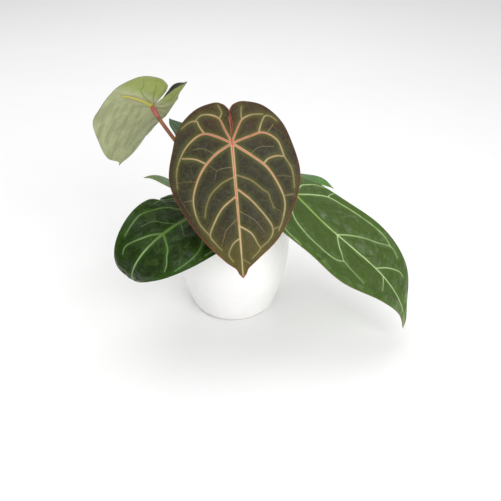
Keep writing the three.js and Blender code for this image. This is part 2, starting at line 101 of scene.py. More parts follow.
LEAVES = {
    "front": {
        "at": (3, -62, 253), "turn": (-81, -56, 4), "length": 142, "lobe": 44, "width": 140,
        "bend": (2, 0, -4, -17), "twist": (0, 0, 2, 0), "wave": 0.7, "midrib": (3.4, 1.1),
        "stalk": {"root": (-1, -5, 129), "rise": (3, 4, 62), "reach": 30, "radius": 2.5},
        "spacing": 0.9, "relief": 0.9, "warm_reach": 112, "finish": "bronze",
        "left": {
            "outline": [(0.5, -35), (5, -40), (16, -42.5), (36, -37), (54, -21), (63, 0), (70, 33),
                        (63, 63), (42, 100), (18, 122), (7, 131), (4, 137)],
            "fold": (-4, -3, -2, -3), "cup": (-15, -12, -12, -4),
            "veins": [
                (2.5, 0.6, 1, [(0, 0), (18, 13), (35, 28), (47, 51), (50, 67), (46, 83), (41, 94)]),
                (2.1, 0.5, 1, [(0, 0), (19, -6), (34, -9), (48, 0), (54, 17), (61, 31), (62, 50)]),
                (1.9, 0.6, 1, [(0, -1), (7, -15), (13, -24), (23, -28), (35, -28)]),
                (1.2, 0.6, 1, [(29, -10), (32, -18), (37, -26), (44, -25), (49, -21)]),
                (1.0, 0.5, 1, [(12, -24), (12, -30), (13, -37)]),
                (0.9, 0.8, 0.5, [(38, -9), (40, -11), (45, -17)]),
                (1.0, 1.3, 1, [(54, 17), (46, 16), (37, 18), (32, 22)]),
                (0.9, 0.6, 0.82, [(0, 32), (16, 39), (27, 49), (33, 54), (35, 61), (38, 70)]),
                (1.6, 0.6, 1, [(0, 46), (15, 60), (30, 80), (35, 92), (31, 102), (20, 111)]),
                (0.9, 0.7, 0.4, [(0, 69), (16, 80), (26, 94)]),
                (1.4, 0.5, 1, [(0, 85), (12, 94), (18, 106), (20, 112), (11, 121)]),
                (1.0, 0.7, 0.8, [(0, 120), (8, 126)]),
                (0.9, 0.7, 0.8, [(50, 58), (60, 57)]),
                (0.9, 0.7, 0.8, [(35, 92), (42, 90)]),
                (0.9, 0.8, 0.7, [(43, 37), (51, 37), (60, 39)]),
                (0.8, 0.7, 0.35, [(18, 12), (28, 6), (44, 6)]),
                (0.8, 0.7, 0.3, [(37, 68), (45, 74)]),
                (0.8, 0.7, 0.1, [(62, 50), (61, 62), (52, 80)]),
            ],
        },
        "right": {
            "outline": [(0.5, -35), (6, -40.5), (16, -43), (36, -37), (54, -21), (62, 0), (70, 33),
                        (61, 63), (40, 97), (18, 122), (7, 131), (4, 137)],
            "fold": (-4, -3, -5, -4), "cup": (-16, -13, -14, -5), "overlap": 3.2,
            "veins": [
                (2.5, 0.6, 1, [(0, 0), (18, 10), (33, 25), (43, 44), (46, 60), (42, 79), (31, 94)]),
                (2.1, 0.5, 1, [(0, 0), (17, -9), (29, -12), (40, -7), (51, 4), (60, 22), (62, 41)]),
                (1.9, 0.6, 1, [(0, -1), (6, -14), (11, -26), (20, -31), (30, -31), (37, -25)]),
                (1.3, 0.6, 1, [(28, -13), (32, -20), (35, -26), (43, -25), (51, -20)]),
                (1.1, 0.5, 1, [(11, -26), (8, -32), (11, -40)]),
                (1.0, 0.7, 0.6, [(0, -8), (0, -18), (1, -27)]),
                (1.0, 1.3, 1, [(53, 11), (44, 12), (37, 14), (30, 18)]),
                (0.9, 0.6, 0.85, [(0, 34), (14, 40), (26, 50), (30, 57), (33, 64), (35, 74)]),
                (1.6, 0.6, 1, [(0, 54), (16, 66), (27, 83), (31, 94), (27, 101), (20, 110)]),
                (0.9, 0.7, 0.4, [(0, 77), (13, 88), (17, 97), (20, 105)]),
                (1.3, 0.5, 1, [(0, 98), (8, 104), (13, 115), (9, 123)]),
                (0.8, 0.7, 0.5, [(47, 55), (56, 56)]),
                (0.9, 0.7, 0.7, [(61, 36), (52, 35), (42, 36)]),
                (0.8, 0.7, 0.35, [(41, 3), (30, 3), (18, 10)]),
                (0.8, 0.7, 0.35, [(0, 24), (12, 25), (18, 27), (21, 36)]),
                (0.8, 0.7, 0.3, [(18, 27), (25, 21)]),
                (0.8, 0.7, 0.2, [(62, 41), (60, 52), (50, 72)]),
            ],
        },
    },
    "left": {
        "at": (-34, -37, 154), "turn": (-126, 10, -20), "length": 150, "lobe": 36, "width": 115,
        "bend": (4, 0, -34, -147), "twist": (0, 4, -3, -11), "wave": 1.2, "midrib": (3.0, 0.8),
        "stalk": {"root": (-4, -5, 119), "rise": (-13, -12, 16), "reach": 14, "radius": 2.4},
        "spacing": 0.85, "relief": 1.4, "warm_reach": 105, "crumple": 1.6, "finish": "dark",
        "left": {
            "outline": [(0.5, -31), (13, -36), (29, -30), (44, -16), (52, 0), (54, 35), (49, 66),
                        (34, 103), (14, 128), (4, 143)],
            "fold": (4, 5, 2, -4), "cup": (-25, -23, -23, -22),
            "veins": [
                (1.9, 0.5, 1, [(0, 0), (16, 12), (33, 34), (41, 48), (42, 67), (39, 84)]),
                (1.5, 0.7, 1, [(0, 0), (22, -6), (42, 2), (50, 22), (49, 45)]),
                (1.3, 0.6, 1, [(0, -2), (12, -20), (26, -26), (38, -16)]),
                (1.4, 0.6, 1, [(0, 62), (16, 71), (22, 78), (28, 85), (31, 93)]),
                (1.2, 0.8, 0.35, [(0, 36), (10, 43), (18, 48)]),
            ],
        },
        "right": {
            "outline": [(0.5, -31), (13, -36), (29, -30), (42, -16), (50, 0), (52, 13), (46, 23),
                        (54, 33), (47, 65), (33, 102), (17, 130), (4, 143)],
            "fold": (4, 1, 5, 7), "cup": (-26, -28, -22, -18),
            "veins": [
                (2.0, 0.5, 1, [(0, 0), (17, 21), (28, 32), (33, 49), (36, 62), (34, 73), (28, 92)]),
                (1.5, 0.7, 1, [(0, 0), (20, -4), (38, 4), (43, 18), (42, 36)]),
                (1.3, 0.6, 1, [(0, -2), (12, -20), (27, -25), (38, -14)]),
                (1.4, 0.6, 1, [(0, 62), (7, 72), (12, 82), (20, 99), (18, 108)]),
                (1.1, 0.9, 0.45, [(0, 41), (9, 52), (18, 62), (22, 73)]),
            ],
        },
    },
    "right": {
        "at": (72, -47, 183), "turn": (-19, -43, 12), "length": 225, "lobe": 50, "width": 112,
        "bend": (7, 0, 6, -48), "twist": (0, -3, 3, 1), "wave": 1.2, "midrib": (2.1, 0.9),
        "stalk": {"root": (6, -2, 120), "rise": (24, -4, 34), "reach": 24, "radius": 2.6},
        "spacing": 0.9, "relief": 1.5, "warm_reach": 90, "finish": "mid",
        "left": {
            "outline": [(0.5, -34), (9, -40), (19, -33), (27, -14), (35, 0), (47, 15), (52, 52),
                        (50, 99), (35, 154), (13, 193), (5, 215)],
            "fold": (6, 0, 11, 6), "cup": (-11, -17, -2, -2),
            "veins": [
                (1.5, 0.7, 1, [(0, 0), (20, 16), (37, 34), (42, 56), (43, 76), (41, 108), (35, 126)]),
                (1.1, 0.7, 0.9, [(37, 34), (43, 35), (52, 39)]),
                (1.2, 0.7, 1, [(0, -1), (18, 0), (26, 4), (40, 14), (48, 26)]),
                (1.2, 0.7, 0.9, [(0, -3), (10, -20), (16, -29)]),
                (1.2, 0.5, 1, [(0, 66), (11, 79), (20, 94), (27, 110), (35, 126), (31, 140)]),
                (1.1, 0.6, 0.95, [(0, 125), (12, 137), (21, 151), (22, 160)]),
            ],
        },
        "right": {
            "outline": [(0.5, -43), (12, -50), (28, -42), (43, -23), (53, 0), (51, 51), (50, 101),
                        (30, 151), (10, 191), (5, 215)],
            "fold": (6, 4, 8, 5), "cup": (-11, -13, -5, -7),
            "veins": [
                (1.5, 0.8, 1, [(0, 0), (14, 2), (26, 10), (32, 26), (34, 55), (32, 78), (26, 88)]),
                (1.3, 0.5, 1, [(0, 66), (12, 74), (20, 82), (26, 88), (29, 103), (32, 120)]),
                (1.2, 0.7, 1, [(0, -1), (16, -14), (36, -10), (48, 10), (50, 36)]),
                (1.2, 0.7, 0.9, [(0, -4), (12, -26), (26, -32), (38, -20)]),
                (1.1, 0.6, 0.95, [(0, 138), (8, 142), (18, 145)]),
            ],
        },
    },
    "right_back": {
        "at": (33, 33, 160), "turn": (-11, 11, -8), "length": 95, "lobe": 28, "width": 62,
        "bend": (0, 0, -8, -45), "twist": (0, 0, -5, 2), "wave": 0.6, "midrib": (2.2, 0.9),
        "stalk": {"root": (5, 4, 117), "rise": (14, 10, 24), "reach": 12, "radius": 1.9},
        "spacing": 0.8, "relief": 0.9, "warm_reach": 40, "finish": "young",
        "left": {
            "outline": [(0.5, -24), (7, -28), (16, -24), (24, -13), (28, 0), (30, 22), (27, 42),
                        (18, 65), (9, 82), (2, 91)],
            "fold": (4, 4, -1, 1), "cup": (-20, -20, -25, -15),
        },
        "right": {
            "outline": [(0.5, -24), (7, -28), (16, -24), (24, -13), (28, 0), (30, 22), (26, 42),
                        (18, 65), (8, 82), (2, 91)],
            "fold": (4, 4, 2, 0), "cup": (-20, -20, -20, -15),
        },
    },
    "back_left": {
        "at": (-91, 37, 251), "turn": (142, -51, 30), "length": 120, "lobe": 54, "width": 112,
        "bend": (0, 0, 0, -23), "twist": (1, 5, 0, -7), "wave": 0.3, "midrib": (2.0, 0.9),
        "midrib_clear": 0.655,
        "stalk": {"root": (-5, 2, 126), "rise": (-22, 12, 40), "reach": 18, "radius": 2.4},
        "spacing": 0.95, "relief": 1.15, "warm_reach": 45, "finish": "pale",
        "left": {
            "outline": [(-5, -29), (-3, -38), (9, -45), (28, -40), (44, -20), (50, 0), (53, 28),
                        (53, 54), (36, 85), (20, 107), (3, 114)],
            "fold": (6, 3, 3, -4), "cup": (11, 5, 4, -1), "back": -11,
            "veins": [
                (5.6, 2.6, 1, [(0, 0), (9, -3), (18, -5), (29, -5), (37, -3)]),
                (2.8, 0.8, 0.76, [(22, 6), (22, 13), (20, 24)]),
                (2.0, 0.9, 0.655, [(0, 0), (13, 2), (23, 7), (21, 21), (17, 38), (12, 62), (10, 84)]),
                (1.5, 0.7, 0.6, [(0, -1), (12, -10), (21, -18), (21, -27), (25, -38)]),
                (1.4, 0.7, 0.6, [(0, -4), (6, -18), (9, -36)]),
                (1.6, 0.8, 0.655, [(21, 21), (31, 38), (33, 64), (30, 84)]),
                (1.8, 0.9, 0.655, [(37, -3), (43, 6), (47, 22), (45, 46)]),
            ],
        },
        "right": {
            "outline": [(9, -43), (14, -50), (22, -51), (33, -37), (49, -14), (54, 22), (50, 53),
                        (32, 82), (15, 103), (4, 114)],
            "fold": (-34, -36, -9, 5), "cup": (215, 184, 116, 92), "back": 6,
            "veins": [
                (1.8, 1.0, 0.655, [(0, 0), (16, 6), (30, 24), (34, 48), (26, 72)]),
                (1.6, 0.9, 0.655, [(0, 0), (14, -10), (28, -16), (40, -4), (44, 24)]),
                (1.4, 0.8, 0.655, [(2, -2), (10, -24), (17, -40)]),
                (1.2, 0.8, 0.655, [(0, 36), (12, 50), (18, 66), (13, 82)]),
            ],
        },
    },
    "back": {
        "at": (-23, 50, 182), "turn": (136, 25, 1), "length": 86, "lobe": 20, "width": 54,
        "bend": (0, 0, -16, -5), "twist": (0, 0, 0, -1), "wave": 0.5, "midrib": (2.0, 0.9),
        "stalk": {"root": (0, 6, 123), "rise": (-2, 14, 25), "reach": 12, "radius": 1.9},
        "spacing": 0.8, "relief": 0.7, "warm_reach": 40, "finish": "deep",
        "left": {
            "outline": [(0.5, -17), (6, -20), (14, -17), (21, -9), (24, 0), (26, 20), (23, 38),
                        (14, 58), (8, 75), (2, 83)],
            "fold": (4, 4, 3, 0), "cup": (-20, -20, -19, -15),
        },
        "right": {
            "outline": [(0.5, -17), (6, -20), (14, -17), (21, -9), (24, 0), (26, 20), (23, 38),
                        (16, 59), (7, 74), (2, 82)],
            "fold": (4, 4, 3, 1), "cup": (-20, -20, -19, -15),
        },
    },
    "side": {
        "at": (-46, 28, 141), "turn": (160, 12, 24), "length": 72, "lobe": 18, "width": 44,
        "bend": (0, 0, 3, -33), "twist": (0, 0, 0, -16), "wave": 0.4, "midrib": (1.8, 0.8),
        "stalk": {"root": (-5, 4, 116), "rise": (-16, 12, 10), "reach": 8, "radius": 1.7},
        "spacing": 0.8, "relief": 0.6, "warm_reach": 30, "finish": "tender",
        "left": {
            "outline": [(0.5, -15), (5, -18), (11, -15), (17, -8), (20, 0), (21, 17), (19, 32),
                        (13, 49), (6, 62), (2, 69)],
            "fold": (4, 4, 0, -1), "cup": (-20, -20, -22, -16),
        },
        "right": {
            "outline": [(0.5, -15), (5, -18), (11, -15), (17, -8), (20, 0), (21, 17), (19, 32),
                        (13, 49), (6, 62), (2, 69)],
            "fold": (4, 4, -1, 2), "cup": (-20, -20, -24, -16),
        },
    },
}

# The veins of a leaf that lists none. Their routes are in shares of its half width and of its
# length, or of its lobe behind the junction.
PLAIN_VEINS = [
    (1.7, 0.8, 1, [(0, 0), (0.45, 0.1), (0.74, 0.3), (0.72, 0.5), (0.48, 0.74)]),
    (1.5, 0.8, 1, [(0, 0), (0.45, -0.3), (0.78, -0.1), (0.86, 0.14), (0.84, 0.3)]),
    (1.2, 0.8, 1, [(0, 0), (0.2, -0.6), (0.45, -0.74), (0.66, -0.5)]),
    (1.4, 0.8, 1, [(0, 0.26), (0.24, 0.38), (0.46, 0.58), (0.34, 0.76)]),
    (1.2, 0.8, 1, [(0, 0.46), (0.18, 0.58), (0.3, 0.74), (0.18, 0.88)]),
    (0.9, 0.7, 0.4, [(0, 0.16), (0.3, 0.24), (0.6, 0.42)]),
    (0.9, 0.7, 0.4, [(0, 0.66), (0.12, 0.78), (0.14, 0.88)]),
]


def leaf_finish(slot, roughness, gloss, **looks):
    """A leaf's finish. Each triple is a colour, with the values that a colour picker shows."""
    looks = {key: srgb(*look) if isinstance(look, tuple) else look for key, look in looks.items()}
    return {"slot": slot, "roughness": roughness, "gloss": gloss, **looks}


# What each kind of leaf looks like. The four tissue colours are for the lobes, the middle,
# the tip and the band along the margin. halo lies along the veins, warm is the veins' own
# colour near the junction, and net is the fine net. The margin's line has one colour round
# the lobes and one further down. under and the names that start with it are for the lower face.
#
# Some finishes have more: bloom is a pale painted reflection in patches, with painted shade in the
# hollows between them, dull_half is -1 or 1 for the half that has most of that painted sheen,
# worn is the colour of painted highlight spots near the tip, tip_from and tip_full are shares of
# the length, and pucker is the height of the small bumps. fade dulls the slender veins,
# core 0 keeps warm to the middle of each vein, warm_width is the width up to which a vein
# isn't warm, and a low above lets veins of any clearness show on the upper face.
LEAF_FINISHES = {
    "bronze": leaf_finish(
        "leaf_bronze", 0.52, 0.14,
        lobe=(66, 49, 33), body=(51, 48, 36), tip=(100, 86, 42), band=(70, 50, 32),
        halo=(86, 88, 40), vein=(200, 172, 134), warm=(184, 78, 68), net=(88, 86, 50),
        lobe_line=(94, 56, 34), line=(138, 62, 46), bloom=(62, 62, 54), under=(112, 96, 82),
        under_vein=(150, 116, 90), fade=0.85, core=0.0, warm_width=1.0, tip_from=0.5),
    "dark": leaf_finish(
        "leaf_dark_green", 0.32, 0.13,
        lobe=(24, 42, 1), body=(24, 41, 2), tip=(32, 54, 6), band=(44, 78, 2), halo=(40, 72, 12),
        vein=(146, 168, 120), warm=(80, 108, 34), net=(40, 64, 16), bloom=(52, 78, 26),
        worn=(98, 86, 54), lobe_line=(40, 64, 20), line=(34, 54, 20), under=(106, 126, 80),
        under_vein=(134, 152, 94), tip_from=0.78, pucker=1.2, fade=0.35),
    "deep": leaf_finish(
        "leaf_dark_green", 0.36, 0.25,
        lobe=(30, 51, 22), body=(30, 51, 21), tip=(42, 70, 30), band=(42, 72, 34),
        halo=(46, 74, 40), vein=(86, 118, 84), warm=(86, 118, 74), net=(48, 76, 46),
        lobe_line=(48, 78, 44), line=(44, 74, 40), under=(106, 130, 88),
        under_vein=(124, 144, 96)),
    "mid": leaf_finish(
        "leaf_mid_green", 0.36, 0.27,
        lobe=(56, 79, 24), body=(62, 83, 24), tip=(78, 114, 0), band=(64, 98, 22),
        halo=(66, 98, 36), vein=(186, 200, 146), warm=(138, 166, 72), net=(68, 96, 38),
        bloom=(90, 106, 74), lobe_line=(86, 84, 40), line=(104, 88, 46), under=(132, 150, 100),
        under_vein=(160, 174, 108), dull_half=-1, warm_width=1.2, tip_from=0.68, tip_full=0.92,
        pucker=1.6, fade=0.1),
    "young": leaf_finish(
        "leaf_mid_green", 0.3, 0.4,
        lobe=(44, 74, 28), body=(48, 82, 24), tip=(70, 128, 0), band=(50, 88, 16),
        halo=(64, 102, 36), bloom=(150, 166, 150), vein=(112, 146, 84), warm=(108, 140, 70),
        net=(76, 118, 44), lobe_line=(96, 128, 50), line=(110, 140, 50), under=(136, 158, 104),
        under_vein=(150, 168, 106), tip_from=0.6, tip_full=0.8),
    "pale": leaf_finish(
        "leaf_pale_green", 0.44, 0.3,
        lobe=(40, 66, 36), body=(42, 64, 34), tip=(54, 72, 36), band=(50, 70, 36),
        halo=(56, 80, 42), vein=(108, 130, 82), warm=(116, 118, 66), net=(56, 82, 42),
        lobe_line=(98, 84, 52), line=(104, 92, 56), under=(178, 185, 139),
        under_lobe=(152, 167, 82), under_halo=(152, 144, 112), under_vein=(190, 182, 84),
        under_trace=(112, 134, 62), above=0.1),
    "tender": leaf_finish(
        "leaf_pale_green", 0.28, 0.4,
        lobe=(92, 124, 82), body=(94, 130, 90), tip=(150, 168, 0), band=(96, 134, 70),
        halo=(110, 142, 86), bloom=(166, 186, 178), vein=(138, 160, 108), warm=(140, 150, 80),
        net=(108, 140, 86), lobe_line=(120, 140, 70), line=(150, 158, 66), under=(146, 164, 118),
        under_vein=(156, 168, 106), tip_from=0.62, tip_full=0.9),
}


# Settings that a user would change

def colour(name, description, default):
    return bpy.props.FloatVectorProperty(
        name=name, description=description, default=default, subtype="COLOR", min=0, max=1)


def length(name, description, default):
    return bpy.props.FloatProperty(
        name=name, description=description, default=default, subtype="DISTANCE",
        unit="LENGTH", min=0, precision=4)


def share(name, description, default):
    return bpy.props.FloatProperty(
        name=name, description=description, default=default, subtype="FACTOR", min=0, max=1)


def number(name, description, default):
    return bpy.props.IntProperty(name=name, description=description, default=default, min=0)


class PotSettings(bpy.types.PropertyGroup):
    """The ceramic pot and the grower's pot inside it."""

    foot_radius: length("Foot radius", "Radius of the ceramic pot where it stands", 0.053)
    curve_height: length("Curve height", "The wall is upright above this height", 0.080)
    wall: length("Wall", "Thickness of the ceramic wall", 0.0045)
    glaze: colour("Glaze", "Colour of the glazed ceramic", srgb(243, 242, 241))
    clay: colour("Clay", "Colour of the bare clay under the foot", srgb(205, 196, 184))
    plastic: colour("Plastic", "Colour of the grower's pot", srgb(34, 33, 33))
    plastic_wall: length("Plastic wall", "Thickness of the grower's pot", 0.0015)


class MixSettings(bpy.types.PropertyGroup):
    """The potting mix."""

    bark_chips: number("Bark chips", "How many pieces of bark lie on top", 420)
    bark_length: length("Bark length", "Length of the largest piece of bark", 0.0125)
    perlite_grains: number("Perlite grains", "How many white grains lie on top", 240)
    perlite_size: length("Perlite size", "Width of the largest white grain", 0.0042)
    fibres: number("Fibres", "How many coir fibres lie on top", 90)
    soil: colour("Soil", "Colour of the fine dark part", srgb(52, 38, 28))
    bark: colour("Bark", "Colour of the bark", srgb(112, 78, 52))
    perlite: colour("Perlite", "Colour of the white grains", srgb(226, 222, 212))


class StemSettings(bpy.types.PropertyGroup):
    """The short stem with its roots and dry scales, and the leaf stalks."""

    bark: colour("Stem", "Colour of the stem", srgb(104, 98, 58))
    root: colour("Root", "Colour of the root stubs", srgb(150, 138, 96))
    scale: colour("Scale", "Colour of the dry papery scales", srgb(146, 110, 72))
    green: colour("Green stalk", "Colour of most leaf stalks", srgb(104, 116, 60))
    red: colour("Red stalk", "Colour of the two tallest stalks", srgb(160, 98, 60))
    joint: colour("Joint", "Colour of the swelling below a blade", srgb(176, 92, 84))


class BladeSettings(bpy.types.PropertyGroup):
    """What all leaf blades share."""

    thickness: length("Thickness", "Thickness of the blade between its veins", 0.0008)
    quilt: length("Quilting", "How far the blade swells between its veins", 0.0011)
    ridge: length("Ridge", "How far the midrib stands out below", 0.0016)
    detail: share("Fine net", "How clearly the fine net between the veins shows", 0.35)


class StageSettings(bpy.types.PropertyGroup):
    """Floor, light and camera."""

    floor: colour("Floor", "Colour of the floor", (0.86, 0.86, 0.86))
    lens: bpy.props.FloatProperty(
        name="Lens", description="Focal length in millimetres", default=46, min=1)
    pitch: bpy.props.FloatProperty(
        name="Pitch", description="How far the camera looks down",
        default=math.radians(36), subtype="ANGLE", unit="ROTATION")
    key: bpy.props.FloatProperty(
        name="Key light", description="Power of the large soft light", default=15.5, min=0)
    fill: bpy.props.FloatProperty(
        name="Fill light", description="Power of the light overhead", default=12.8, min=0)
    sky: bpy.props.FloatProperty(
        name="Surround", description="Brightness of the pale surround", default=0.63, min=0)


# Node trees

class Graph:
    """Adds nodes to one node tree and joins them."""

    def __init__(self, tree):
        self.tree = tree

    def put(self, socket, value):
        if isinstance(value, bpy.types.NodeSocket):
            self.tree.links.new(value, socket)
        elif socket.type == "RGBA" and len(value) == 3:
            socket.default_value = (*value, 1)
        else:
            socket.default_value = value

    def add(self, kind, inputs=None, **settings):
        node = self.tree.nodes.new(kind)
        for key, value in settings.items():
            setattr(node, key, value)
        for key, value in (inputs or {}).items():
            self.put(node.inputs[key], value)
        return node

    def attribute(self, name, output="Fac"):
        return self.add("ShaderNodeAttribute", attribute_name=name).outputs[output]

    def math(self, operation, *values, clamp=False):
        inputs = dict(enumerate(values))
        return self.add("ShaderNodeMath", inputs, operation=operation, use_clamp=clamp).outputs[0]

    def step(self, value, low, high, start=0.0, end=1.0):
        """Goes smoothly from start to end as value goes from low to high."""
        inputs = {"Value": value, "From Min": low, "From Max": high, "To Min": start, "To Max": end}
        node = self.add("ShaderNodeMapRange", inputs, interpolation_type="SMOOTHSTEP")
        return node.outputs["Result"]

    def mix(self, factor, first, second):
        """Mixes two colours."""
        node = self.add("ShaderNodeMix", {0: factor, 6: first, 7: second}, data_type="RGBA")
        return node.outputs[2]

    def noise(self, place, scale, detail=2.0, roughness=0.5, distortion=0.0):
        inputs = {"Vector": place, "Scale": scale, "Detail": detail, "Roughness": roughness,
                  "Distortion": distortion}
        return self.add("ShaderNodeTexNoise", inputs).outputs["Fac"]

    def group(self, tree, inputs):
        node = self.add("ShaderNodeGroup", node_tree=tree)
        for key, value in inputs.items():
            self.put(node.inputs[key], value)
        return node.outputs

    def bump(self, height, distance, strength=1.0):
        inputs = {"Height": height, "Distance": distance, "Strength": strength}
        return self.add("ShaderNodeBump", inputs).outputs["Normal"]


def new_material(name, roughness, **constants):
    """A material with one Principled shader, whose constant values are set on its own sockets."""
    material = bpy.data.materials.new(name)
    material.use_nodes = True
    shader = material.node_tree.nodes["Principled BSDF"]
    shader.inputs["Roughness"].default_value = roughness
    for key, value in constants.items():
        shader.inputs[key.replace("_", " ")].default_value = value
    return material, Graph(material.node_tree), shader.inputs


def new_group(name, inputs, outputs):
    """An empty shader node group, with what goes in and where results come out."""
    tree = bpy.data.node_groups.new(name, "ShaderNodeTree")
    for socket, kind in inputs.items():
        tree.interface.new_socket(socket, in_out="INPUT", socket_type=kind)
    for socket, kind in outputs.items():
        tree.interface.new_socket(socket, in_out="OUTPUT", socket_type=kind)
    graph = Graph(tree)
    incoming = graph.add("NodeGroupInput").outputs
    outgoing = graph.add("NodeGroupOutput").inputs
    return tree, graph, incoming, outgoing


FLOAT = "NodeSocketFloat"
COLOUR = "NodeSocketColor"
VECTOR = "NodeSocketVector"

# How many patches of uneven colour a leaf has in a millimetre.
PATCHES = 0.055


def mottle_group():
    """Uneven colour in two sizes of patch."""
    if "Mottle" in bpy.data.node_groups:
        return bpy.data.node_groups["Mottle"]
    tree, graph, given, result = new_group(
        "Mottle",
        {"Place": VECTOR, "Scale": FLOAT, "Colour": COLOUR, "Second": COLOUR},
        {"Colour": COLOUR, "Mask": FLOAT})
    broad = graph.noise(given["Place"], given["Scale"], detail=3)
    fine = graph.noise(given["Place"], graph.math("MULTIPLY", given["Scale"], 6.3))
    both = graph.math("ADD", graph.math("MULTIPLY", broad, 0.65), graph.math("MULTIPLY", fine, 0.35))
    mask = graph.step(both, 0.34, 0.66)
    graph.put(result["Colour"], graph.mix(mask, given["Colour"], given["Second"]))
    graph.put(result["Mask"], mask)
    return tree


def vein_net_group():
    """The fine net of a leaf: meshes about as wide as Size, and smaller ones inside them."""
    if "Vein net" in bpy.data.node_groups:
        return bpy.data.node_groups["Vein net"]
    tree, graph, given, result = new_group(
        "Vein net", {"Place": VECTOR, "Size": FLOAT}, {"Mask": FLOAT, "Cells": FLOAT})
    bend = graph.add("ShaderNodeTexNoise", {"Vector": given["Place"], "Scale": 0.12, "Detail": 2.0})
    moved = graph.add("ShaderNodeVectorMath", {0: bend.outputs["Color"], "Scale": 7.0},
                      operation="SCALE")
    place = graph.add("ShaderNodeVectorMath", {0: given["Place"], 1: moved.outputs[0]}).outputs[0]
    masks = []
    for share_of_size, low, high in ((1.0, 0.015, 0.06), (0.38, 0.02, 0.10)):
        scale = graph.math("DIVIDE", 1.0, graph.math("MULTIPLY", given["Size"], share_of_size))
        cells = graph.add("ShaderNodeTexVoronoi", {"Vector": place, "Scale": scale},
                          feature="DISTANCE_TO_EDGE")
        masks.append(graph.step(cells.outputs["Distance"], low, high, 1.0, 0.0))
    fine = graph.math("MULTIPLY", masks[1], 0.45)
    graph.put(result["Mask"], graph.math("MAXIMUM", masks[0], fine))
    graph.put(result["Cells"], graph.math("SUBTRACT", 1.0, masks[1]))
    return tree


def leaf_paint_group():
    """Puts net, halo, veins and margin line over the tissue's colour.

    Edge, Trace and Rim are the distances in millimetres to the nearest clear vein's flank, to
    the nearest faint vein's flank and to the margin. Across is 0 on a vein's middle and 1 on
    its flank, Size is its width, and Warmth and Clear go from 0 to 1.
    """
    if "Leaf paint" in bpy.data.node_groups:
        return bpy.data.node_groups["Leaf paint"]
    tree, graph, given, result = new_group(
        "Leaf paint",
        {"Tissue": COLOUR, "Net Colour": COLOUR, "Halo": COLOUR, "Vein": COLOUR, "Warm": COLOUR,
         "Faint Vein": COLOUR, "Line": COLOUR, "Edge": FLOAT, "Across": FLOAT, "Warmth": FLOAT,
         "Clear": FLOAT, "Size": FLOAT, "Trace": FLOAT, "Rim": FLOAT, "Net": FLOAT,
         "Fade": FLOAT, "Spread": FLOAT},
        {"Colour": COLOUR, "Vein Mask": FLOAT})

    def seen(mask):
        return graph.math("MULTIPLY", mask, given["Clear"])

    painted = graph.mix(given["Net"], given["Tissue"], given["Net Colour"])
    wide = seen(graph.step(given["Edge"], 0.0, 6.0, 0.6, 0.0))
    painted = graph.mix(wide, painted, given["Halo"])
    fringe = seen(graph.step(given["Edge"], -0.1, 1.1, 0.7, 0.0))
    light_halo = graph.mix(0.3, given["Halo"], given["Vein"])
    painted = graph.mix(fringe, painted, light_halo)
    faint = graph.step(given["Trace"], -0.35, 0.6, 0.7, 0.0)
    painted = graph.mix(faint, painted, given["Faint Vein"])
    core = graph.step(given["Across"], 0.12, 0.5, 1.0, 0.0)
    core = graph.math("MAXIMUM", core, given["Spread"])
    warm = graph.math("MULTIPLY", core, graph.step(given["Warmth"], 0.02, 0.4))
    # Painted shade: each vein darkens towards its flanks, as a rounded ridge would be shaded.
    flank = graph.mix(0.3, given["Vein"], given["Halo"])
    vein_colour = graph.mix(graph.step(given["Across"], 0.35, 1.0), given["Vein"], flank)
    vein_colour = graph.mix(warm, vein_colour, given["Warm"])
    slim = graph.math("MULTIPLY", graph.step(given["Size"], 0.5, 1.7, 1.0, 0.0), given["Fade"])
    vein_colour = graph.mix(slim, vein_colour, light_halo)
    mask = seen(graph.step(given["Edge"], -0.4, 0.25, 1.0, 0.0))
    painted = graph.mix(mask, painted, vein_colour)
    line = graph.step(given["Rim"], 0.25, 0.75, 0.85, 0.0)
    graph.put(result["Colour"], graph.mix(line, painted, given["Line"]))
    graph.put(result["Vein Mask"], mask)
    return tree


def tinted(value, factor):
    """A colour made lighter or darker."""
    return tuple(min(1.0, part * factor) for part in value)


def blended(first, second, part):
    """A colour between two others."""
    return tuple(a + (b - a) * part for a, b in zip(first, second))


def under_looks(graph, finish, along, away):
    """The lower face's colours, with the lobes' own colour, painted shade in streaks across the body
    of the blade and along the veins, and its dark tone.
    """
    base = finish["under"]
    # The lobes' own colour; the pale finish paints light shining through its lobes into it.
    lobe = finish.get("under_lobe", tinted(base, 0.86))
    tissue = graph.mix(graph.step(along, -22, -10, 1.0, 0.0), base, lobe)
    # Painted shade: darker streaks across the body, where ridges between the veins would shade it.
    feather = graph.add("ShaderNodeCombineXYZ", {"X": away, "Y": along})
    turned = graph.add("ShaderNodeMapping", {
        "Vector": feather.outputs[0], "Rotation": (0, 0, 0.25), "Scale": (0.13, 0.022, 1)})
    streaks = graph.step(graph.noise(turned.outputs[0], 1.0), 0.42, 0.62, 0.0, 0.75)
    streaks = graph.math("MULTIPLY", streaks, graph.step(along, -15, 25))
    tissue = graph.mix(streaks, tissue, tinted(base, 0.58))
    # Painted shade: a darker band along the veins of the lower face, which also colours its net.
    halo = finish.get("under_halo", tinted(base, 0.9))
    vein = finish["under_vein"]
    colours = {
        "Net Colour": halo, "Halo": halo, "Vein": vein, "Warm": vein,
        "Faint Vein": finish.get("under_trace", blended(halo, vein, 0.3)),
        "Line": tinted(base, 0.8)}
    return tissue, colours, tinted(base, 0.8)


